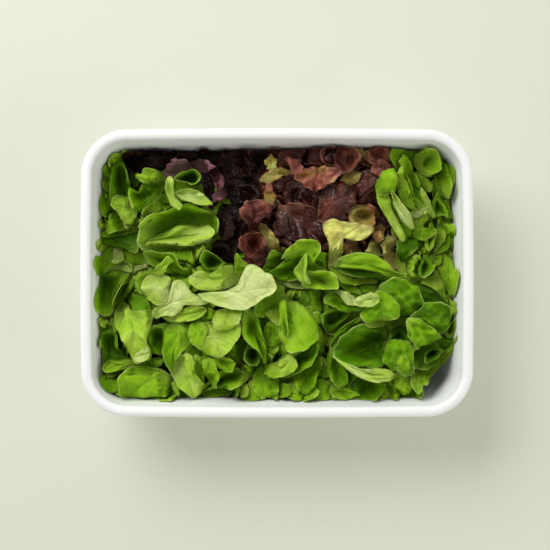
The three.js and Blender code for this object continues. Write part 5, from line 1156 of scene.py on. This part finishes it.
# %% The leaves' material
def vein_lines(n, uv, u, v):
    """How strongly all veins show, the side veins alone, and the distance from the net between them."""
    side = n.math("ABSOLUTE", n.math("SUBTRACT", v, 0.5))
    branch = n.math("SUBTRACT", u, n.math("MULTIPLY", side, 1.1))
    branch = n.math("MULTIPLY_ADD", n.noise(uv, 5.0, 2.0), 0.16, branch)
    stripe = n.math("PINGPONG", n.math("MULTIPLY", branch, 7.0), 0.5)
    side_veins = n.fade(stripe, 0.0, 0.09, 1.0, 0.0)
    net = n.add("ShaderNodeTexVoronoi", {"Vector": uv, "Scale": 16.0}, feature="DISTANCE_TO_EDGE")
    net_veins = n.fade(net, 0.0, 0.12, 1.0, 0.0)
    rib_width = n.math("MULTIPLY_ADD", u, -0.028, 0.032)
    rib = n.fade(n.math("DIVIDE", side, rib_width), 0.4, 1.0, 1.0, 0.0)
    lines = n.math("MAXIMUM", n.math("MULTIPLY", side_veins, 0.16), n.math("MULTIPLY", net_veins, 0.07))
    return n.math("MAXIMUM", lines, n.math("MULTIPLY", rib, 0.35)), side_veins, net


def patches(n, place, tone, colour, strength, patch_colour):
    """Blotches of a second colour over the first, fewer on pale leaves."""
    blotches = n.fade(n.noise(place, 70.0, 4.0), 0.5, 0.62, 0.0, strength)
    fewer = n.fade(tone, 0.6, 0.85, 1.0, 0.45, kind="LINEAR")
    return n.mix(n.math("MULTIPLY", blotches, fewer), colour, patch_colour)


def leaf_material(name, tones, veins, margin, roughness, translucency, specular=0.12,
                  shine=(1, 1, 1), patchy=0.0, patch_colour=(0, 0, 0), mottle=0.5):
    """tones are the ramp's stops from the darkest leaf to the palest. veins, margin, shine and patch_colour
    are colours, patchy is how strong the patches are, and mottle how far the tone changes over a leaf. The
    margin colour is partly the leaf's own paler edge and partly a painted highlight."""
    n = Nodes(name)
    uv = n.add("ShaderNodeUVMap", uv_map="Leaf")
    u, v, _ = n.axes(uv)
    place = n.place()
    # Slow changes of tone over the heap and over each leaf.
    cloud = n.noise(place, 45.0, 3.0)
    mottled = n.math("MULTIPLY_ADD", cloud, mottle, -mottle / 2)
    tone = n.math("ADD", n.number("tone"), mottled, clamp=True)
    colour = n.ramp(tone, tones)
    if patchy:
        colour = patches(n, place, tone, colour, patchy, patch_colour)
    # The midrib and the side veins, and a paler part towards the stalk.
    lines, side_veins, net = vein_lines(n, uv, u, v)
    colour = n.mix(lines, colour, veins)
    colour = n.mix(n.fade(u, 0.0, 0.35, 0.5, 0.0), colour, veins)
    # The thin pale margin, partly the leaf's own paler edge and partly a painted highlight: how near the
    # distance from the middle of the map is to its edge.
    away = n.add("ShaderNodeVectorMath", {0: uv, 1: (0.5, 0.5, 0.0)}, out=1, operation="DISTANCE")
    edge = n.fade(away, 0.466, 0.485, 0.0, 0.9)
    uneven = n.fade(cloud, 0.4, 0.6, 0.4, 1.0, kind="LINEAR")
    colour = n.mix(n.math("MULTIPLY", edge, uneven), colour, margin)
    # Painted shade: deep in the heap the leaves are painted darker, for the shade that the leaves above cast
    # there.
    deep = n.fade(n.number("depth"), 4.0, 24.0, 0.0, 0.6)
    colour = n.mix(deep, colour, n.mix(1.0, colour, (0.25, 0.3, 0.12), blend="MULTIPLY"))
    # Relief: veins are sunk into the blade and the fields between them are puffed up.
    relief = n.math("SUBTRACT", n.math("MULTIPLY", net, 0.9), n.math("MULTIPLY", side_veins, 0.35))
    relief = n.math("MULTIPLY_ADD", n.noise(place, 900.0, 2.0), 0.08, relief)
    bump = n.add("ShaderNodeBump", {"Height": relief, "Strength": 0.75, "Distance": 0.0013})
    gloss = n.math("MULTIPLY_ADD", cloud, 0.2, roughness - 0.1)
    satin = n.add("ShaderNodeBsdfPrincipled", {
        "Base Color": colour, "Roughness": gloss, "Normal": bump,
        "Specular IOR Level": specular, "Specular Tint": (*shine, 1.0),
    })
    through = n.add("ShaderNodeBsdfTranslucent", {"Color": colour, "Normal": bump})
    return n.finish(n.add("ShaderNodeMixShader", {0: translucency, 1: satin, 2: through}))


# %% Leaf finishes
green_finish = leaf_material(
    "green lettuce",
    [(0.0, (0.012, 0.06, 0.0)), (0.35, (0.09, 0.262, 0.0)), (0.5, (0.2, 0.44, 0.002)),
     (0.65, (0.35, 0.61, 0.015)), (0.8, (0.53, 0.745, 0.08)), (1.0, (0.74, 0.83, 0.34))],
    veins=(0.42, 0.6, 0.08), margin=(0.6, 0.74, 0.2), roughness=0.5, translucency=0.24,
)
dark_red_finish = leaf_material(
    "dark red lettuce",
    [(0.0, (0.006, 0.002, 0.001)), (0.3, (0.016, 0.005, 0.003)), (0.5, (0.04, 0.01, 0.009)),
     (0.65, (0.12, 0.03, 0.036)), (0.82, (0.33, 0.145, 0.17)), (1.0, (0.52, 0.3, 0.33))],
    veins=(0.06, 0.02, 0.018), margin=(0.05, 0.014, 0.01), roughness=0.2, translucency=0.08,
    specular=0.22, shine=(1.0, 0.86, 0.8),
)
bronze_finish = leaf_material(
    "bronze lettuce",
    [(0.0, (0.012, 0.003, 0.003)), (0.25, (0.06, 0.012, 0.01)), (0.45, (0.2, 0.045, 0.03)),
     (0.6, (0.56, 0.2, 0.13)), (0.75, (0.6, 0.38, 0.08)), (1.0, (0.86, 0.9, 0.22))],
    veins=(0.27, 0.1, 0.06), margin=(0.42, 0.2, 0.11), roughness=0.24, translucency=0.18,
    specular=0.45, shine=(1.0, 0.9, 0.87), patchy=0.6, patch_colour=(0.06, 0.012, 0.01), mottle=0.9,
)

# %% [markdown]
# ## Building the heap
#
# First the core that fills the tub under the leaves. Then the leaves that show, from the top down, and
# under them the fill layers. Each kind has meshes of its own.

# %% The core
CORE_DROP = 32  # how far the core's edge lies under the heap's
CORE_FLOOR = FLOOR + GAP
CORE_FAN, CORE_STEP, CORE_REACH, CORE_FILLET_STEPS = 40, 6.0, 120, 6
LUMP_HEIGHT, LUMP_X, LUMP_Y = 2, 9, 8  # lumps in its top: how high, and how wide in x and in y
BARE_CORNER, BARE_RADIUS = np.array([172, -122]), 46  # the core keeps out of the bare corner
core_edge = SHOULDER - CORE_DROP
core_inset = inner_inset(core_edge) + GAP
core_well = inner_inset(CORE_FLOOR) + GAP + WELL_FILLET
inward = np.arange(0, CORE_REACH, CORE_STEP)
core_profile = (
    [(core_well + CORE_FAN, CORE_FLOOR)]
    + arc(core_well, CORE_FLOOR + WELL_FILLET, WELL_FILLET, -90, 0, CORE_FILLET_STEPS)
    + [(core_inset + d, core_edge + (CREST - SHOULDER) * (1 - np.exp(-d / SLOPE))) for d in inward]
)
core_points, core_faces = loft(core_profile, corner_steps=10, side_steps=24)
lumps = np.sin(core_points[:, 0] / LUMP_X) * np.sin(core_points[:, 1] / LUMP_Y) * LUMP_HEIGHT
core_points[:, 2] += np.where(core_points[:, 2] > core_edge, lumps, 0)
away = core_points[:, :2] - BARE_CORNER
far = np.linalg.norm(away, axis=1)[:, None]
core_points[:, :2] = BARE_CORNER + away * np.maximum(far, BARE_RADIUS) / far
core = put_mesh("leaf_core", core_points, core_faces)

# %% The leaves that show
rng = np.random.default_rng(7)
left, front, right = Pile("green_leaves_left"), Pile("green_leaves_front"), Pile("green_leaves_right")
dark, bronze = Pile("dark_red_leaf_pile"), Pile("bronze_leaf_pile")
SHOWN = [
    # pile, rows, what their tones are scaled by, and the leaves' frill, blisters, life, crumple and growth
    (left, PALE, 1.0, Look(0.7, 0.45, 0.7, 0.15, 1.0)),
    (right, BUTTERHEAD, 0.9, Look(0.8, 2.2, 1.0, 1.0, 1.08)),
    (front, MIDDLE, 1.01, Look(0.8, 0.5, 1.1, 0.3, 1.2)),
    (left, BACK_LEFT, 1.1, Look(0.7, 0.5, 1.0, 0.3, 1.12)),
    (left, SMALL_HEAD, 1.04, Look(1.0, 0.6, 1.2, 0.4, 1.2)),
    (left, FRONT_LEFT, 1.1, Look(0.7, 0.5, 1.0, 0.3, 1.15)),
    (right, RIGHT, 1.16, Look(0.7, 0.5, 1.0, 0.3, 1.15)),
    (bronze, BRONZE, 1.0, Look(1.8, 0.5, 1.3, 1.3, 1.25)),
    (dark, DARK_RED, 0.97, Look(1.7, 0.5, 1.4, 1.1, 1.25)),
]
for pile, rows, tone_scale, look in SHOWN:
    for row in rows:
        tone = min(row[0] * tone_scale, 1.0)
        pile.add(measured_leaf(row, VIEW_GRID, rng, look), VIEW_GRID, tone, CEILING)

# %% The leaves below and between them
WALL_PILE = "green_leaves_at_the_wall"
LAYERS = {
    "green_leaves_below": Layer(
        spacing=16, over=-7, lengths=(32, 48), rolls=(10, 55), leans=(-10, 40), tones=(0.5, 0.75),
        highest=1.0, least_open=0.1, reach=1, clear=9,
    ),
    # Painted shade: the deep leaves get darker tones than those above them.
    "green_leaves_deep": Layer(
        spacing=24, over=-17, lengths=(44, 60), rolls=(0, 30), leans=(0, 25), tones=(0.35, 0.6),
        highest=-8.0, least_open=0.0, reach=2, clear=12,
    ),
}
fill_piles = {name: Pile(name) for name in (WALL_PILE, *LAYERS)}
piles = {"green": fill_piles[WALL_PILE], "dark": dark, "bronze": bronze}
wall_layer(piles, rng, spacing=12, inset=9, over=-5, lengths=(24, 36), tones=(0.5, 0.75))
for name, layer in LAYERS.items():
    fill_layer({**piles, "green": fill_piles[name]}, rng, layer)

for pile in (left, front, right, *fill_piles.values()):
    pile.finish(green_finish, "green_leaves", slot="green_leaf")
dark.finish(dark_red_finish, "dark_red_leaves", slot="dark_red_leaf")
bronze.finish(bronze_finish, "bronze_leaves", slot="bronze_leaf")

# %% [markdown]
# ## Finishes of the tub and the core
#
# The tub's plastic has a fine grain from its mould and faint scuffs. The top of its rim is painted a
# little darker than its walls: a painted shade, since the rim faces the window and takes more light. The
# core shows only between leaves, so it has the colour of leaves in shade.

# %% Tub and core finishes
# painted shade for the rim's top, which faces the window and takes more light than the walls
RIM_PAINTED_SHADE = (0.67, 0.675, 0.665)
RED_SHADE = (0.012, 0.005, 0.004)  # under the red leaves


def tub_plastic():
    """Satin white plastic, with a painted shade on the top of its rim."""
    n = Nodes("satin white plastic")
    place = n.place()
    scuffs = n.noise(place, 14.0, 5.0)
    tint = n.ramp(scuffs, [(0.3, (0.92, 0.925, 0.92)), (0.7, (0.94, 0.945, 0.94))])
    # Painted shade: the top of the rim is mixed half way towards that grey.
    rim_painted_shade = n.fade(n.axes(place)[2], 0.078, 0.089, 0.0, 0.5, kind="LINEAR")
    rough = n.math("MULTIPLY_ADD", scuffs, 0.16, 0.36)
    grain = n.noise(place, 700.0, 3.0)
    bump = n.add("ShaderNodeBump", {"Height": grain, "Strength": 0.08, "Distance": 0.0004})
    return n.finish(n.add("ShaderNodeBsdfPrincipled", {
        "Base Color": n.mix(rim_painted_shade, tint, RIM_PAINTED_SHADE), "Roughness": rough, "Normal": bump,
        "Specular IOR Level": 0.4,
    }))


def shaded_leaves():
    """Dark green cells, and dark red at the back."""
    n = Nodes("shaded leaves")
    place = n.place()
    cells = n.add("ShaderNodeTexVoronoi", {"Vector": place, "Scale": 90.0})
    shade = n.ramp(cells, [(0.0, (0.02, 0.05, 0.003)), (0.6, (0.06, 0.14, 0.01))])
    at_back = n.fade(n.axes(place)[1], 0.02, 0.04, kind="LINEAR")
    shade = n.mix(at_back, shade, RED_SHADE)
    return n.finish(n.add("ShaderNodeBsdfPrincipled", {"Base Color": shade, "Roughness": 0.7}))


tub.data.materials.append(tub_plastic())
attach(tub, "root")
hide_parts("box")

core.data.materials.append(shaded_leaves())
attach(core, "root")
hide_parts("green_leaves", "dark_red_leaves", "bronze_leaves")

# %% [markdown]
# ## Floor, light and camera
#
# The tub stands on pale paper. A window at the back left gives the soft shadows, a reflector at the right
# lifts them a little, and the room round them is brighter at the horizon than overhead.

# %% Floor
SIDE = 3.0


def pale_paper():
    """Matte paper with faint fibres."""
    n = Nodes("pale paper")
    fibre = n.noise(n.place(), 300.0, 4.0)
    paper = n.ramp(fibre, [(0.3, (0.648, 0.66, 0.553)), (0.7, (0.663, 0.675, 0.568))])
    return n.finish(n.add("ShaderNodeBsdfPrincipled", {"Base Color": paper, "Roughness": 0.85}))


corners = [(-SIDE, -SIDE, 0), (SIDE, -SIDE, 0), (SIDE, SIDE, 0), (-SIDE, SIDE, 0)]
floor_mesh = bpy.data.meshes.new("floor")
floor_mesh.from_pydata(corners, [], [(0, 1, 2, 3)])
floor_mesh.materials.append(pale_paper())
floor = bpy.data.objects.new("floor", floor_mesh)
bpy.context.scene.collection.objects.link(floor)

# %% Light
HORIZON, ZENITH = 1.2, 0.3  # a pale room lights the walls of the tub more than its floor
world = bpy.data.worlds.new("soft room")
bpy.context.scene.world = world
world.use_nodes = True
tree = world.node_tree
direction = tree.nodes.new("ShaderNodeTexCoord")
split = tree.nodes.new("ShaderNodeSeparateXYZ")
brightness = tree.nodes.new("ShaderNodeMapRange")
for name, value in {"From Min": 0.0, "From Max": 1.0, "To Min": HORIZON, "To Max": ZENITH}.items():
    brightness.inputs[name].default_value = value
tree.links.new(direction.outputs["Generated"], split.inputs[0])
tree.links.new(split.outputs[2], brightness.inputs["Value"])
tree.links.new(brightness.outputs[0], tree.nodes["Background"].inputs["Strength"])
tree.nodes["Background"].inputs["Color"].default_value = (1.0, 1.0, 0.95, 1.0)


def area_light(name, shape, sizes, energy, colour, place):
    """A light at the place, in metres, that faces the middle of the tub's underside."""
    light = bpy.data.lights.new(name, "AREA")
    light.shape = shape
    light.size, light.size_y = sizes
    light.energy = energy
    light.color = colour
    lamp = bpy.data.objects.new(name, light)
    bpy.context.scene.collection.objects.link(lamp)
    lamp.location = place
    lamp.rotation_euler = (-Vector(place)).to_track_quat("-Z", "Y").to_euler()


area_light("window", "ELLIPSE", (1.7, 1.2), 34.0, (1.0, 1.0, 1.04), (-0.95, 1.22, 1.50))
area_light("reflector", "SQUARE", (0.9, 0.9), 5.0, (1.0, 1.0, 0.96), (1.3, -0.55, 0.85))

# %% Camera
CAMERA_HEIGHT = 1.192  # 1.1 m over the rim
VIEW_WIDTH = 0.515  # seen across the picture at the rim
CAMERA_OFFSET = -0.0019  # the camera is this far off the tub's middle, in x and in y
camera = bpy.data.cameras.new("camera")
camera.sensor_fit = "HORIZONTAL"
camera.angle = 2 * np.arctan(VIEW_WIDTH / 2 / (CAMERA_HEIGHT - HEIGHT * MM))
camera_object = bpy.data.objects.new("camera", camera)
camera_object.location = (CAMERA_OFFSET, CAMERA_OFFSET, CAMERA_HEIGHT)
bpy.context.scene.collection.objects.link(camera_object)
bpy.context.scene.camera = camera_object
bpy.context.scene.view_settings.view_transform = "Standard"
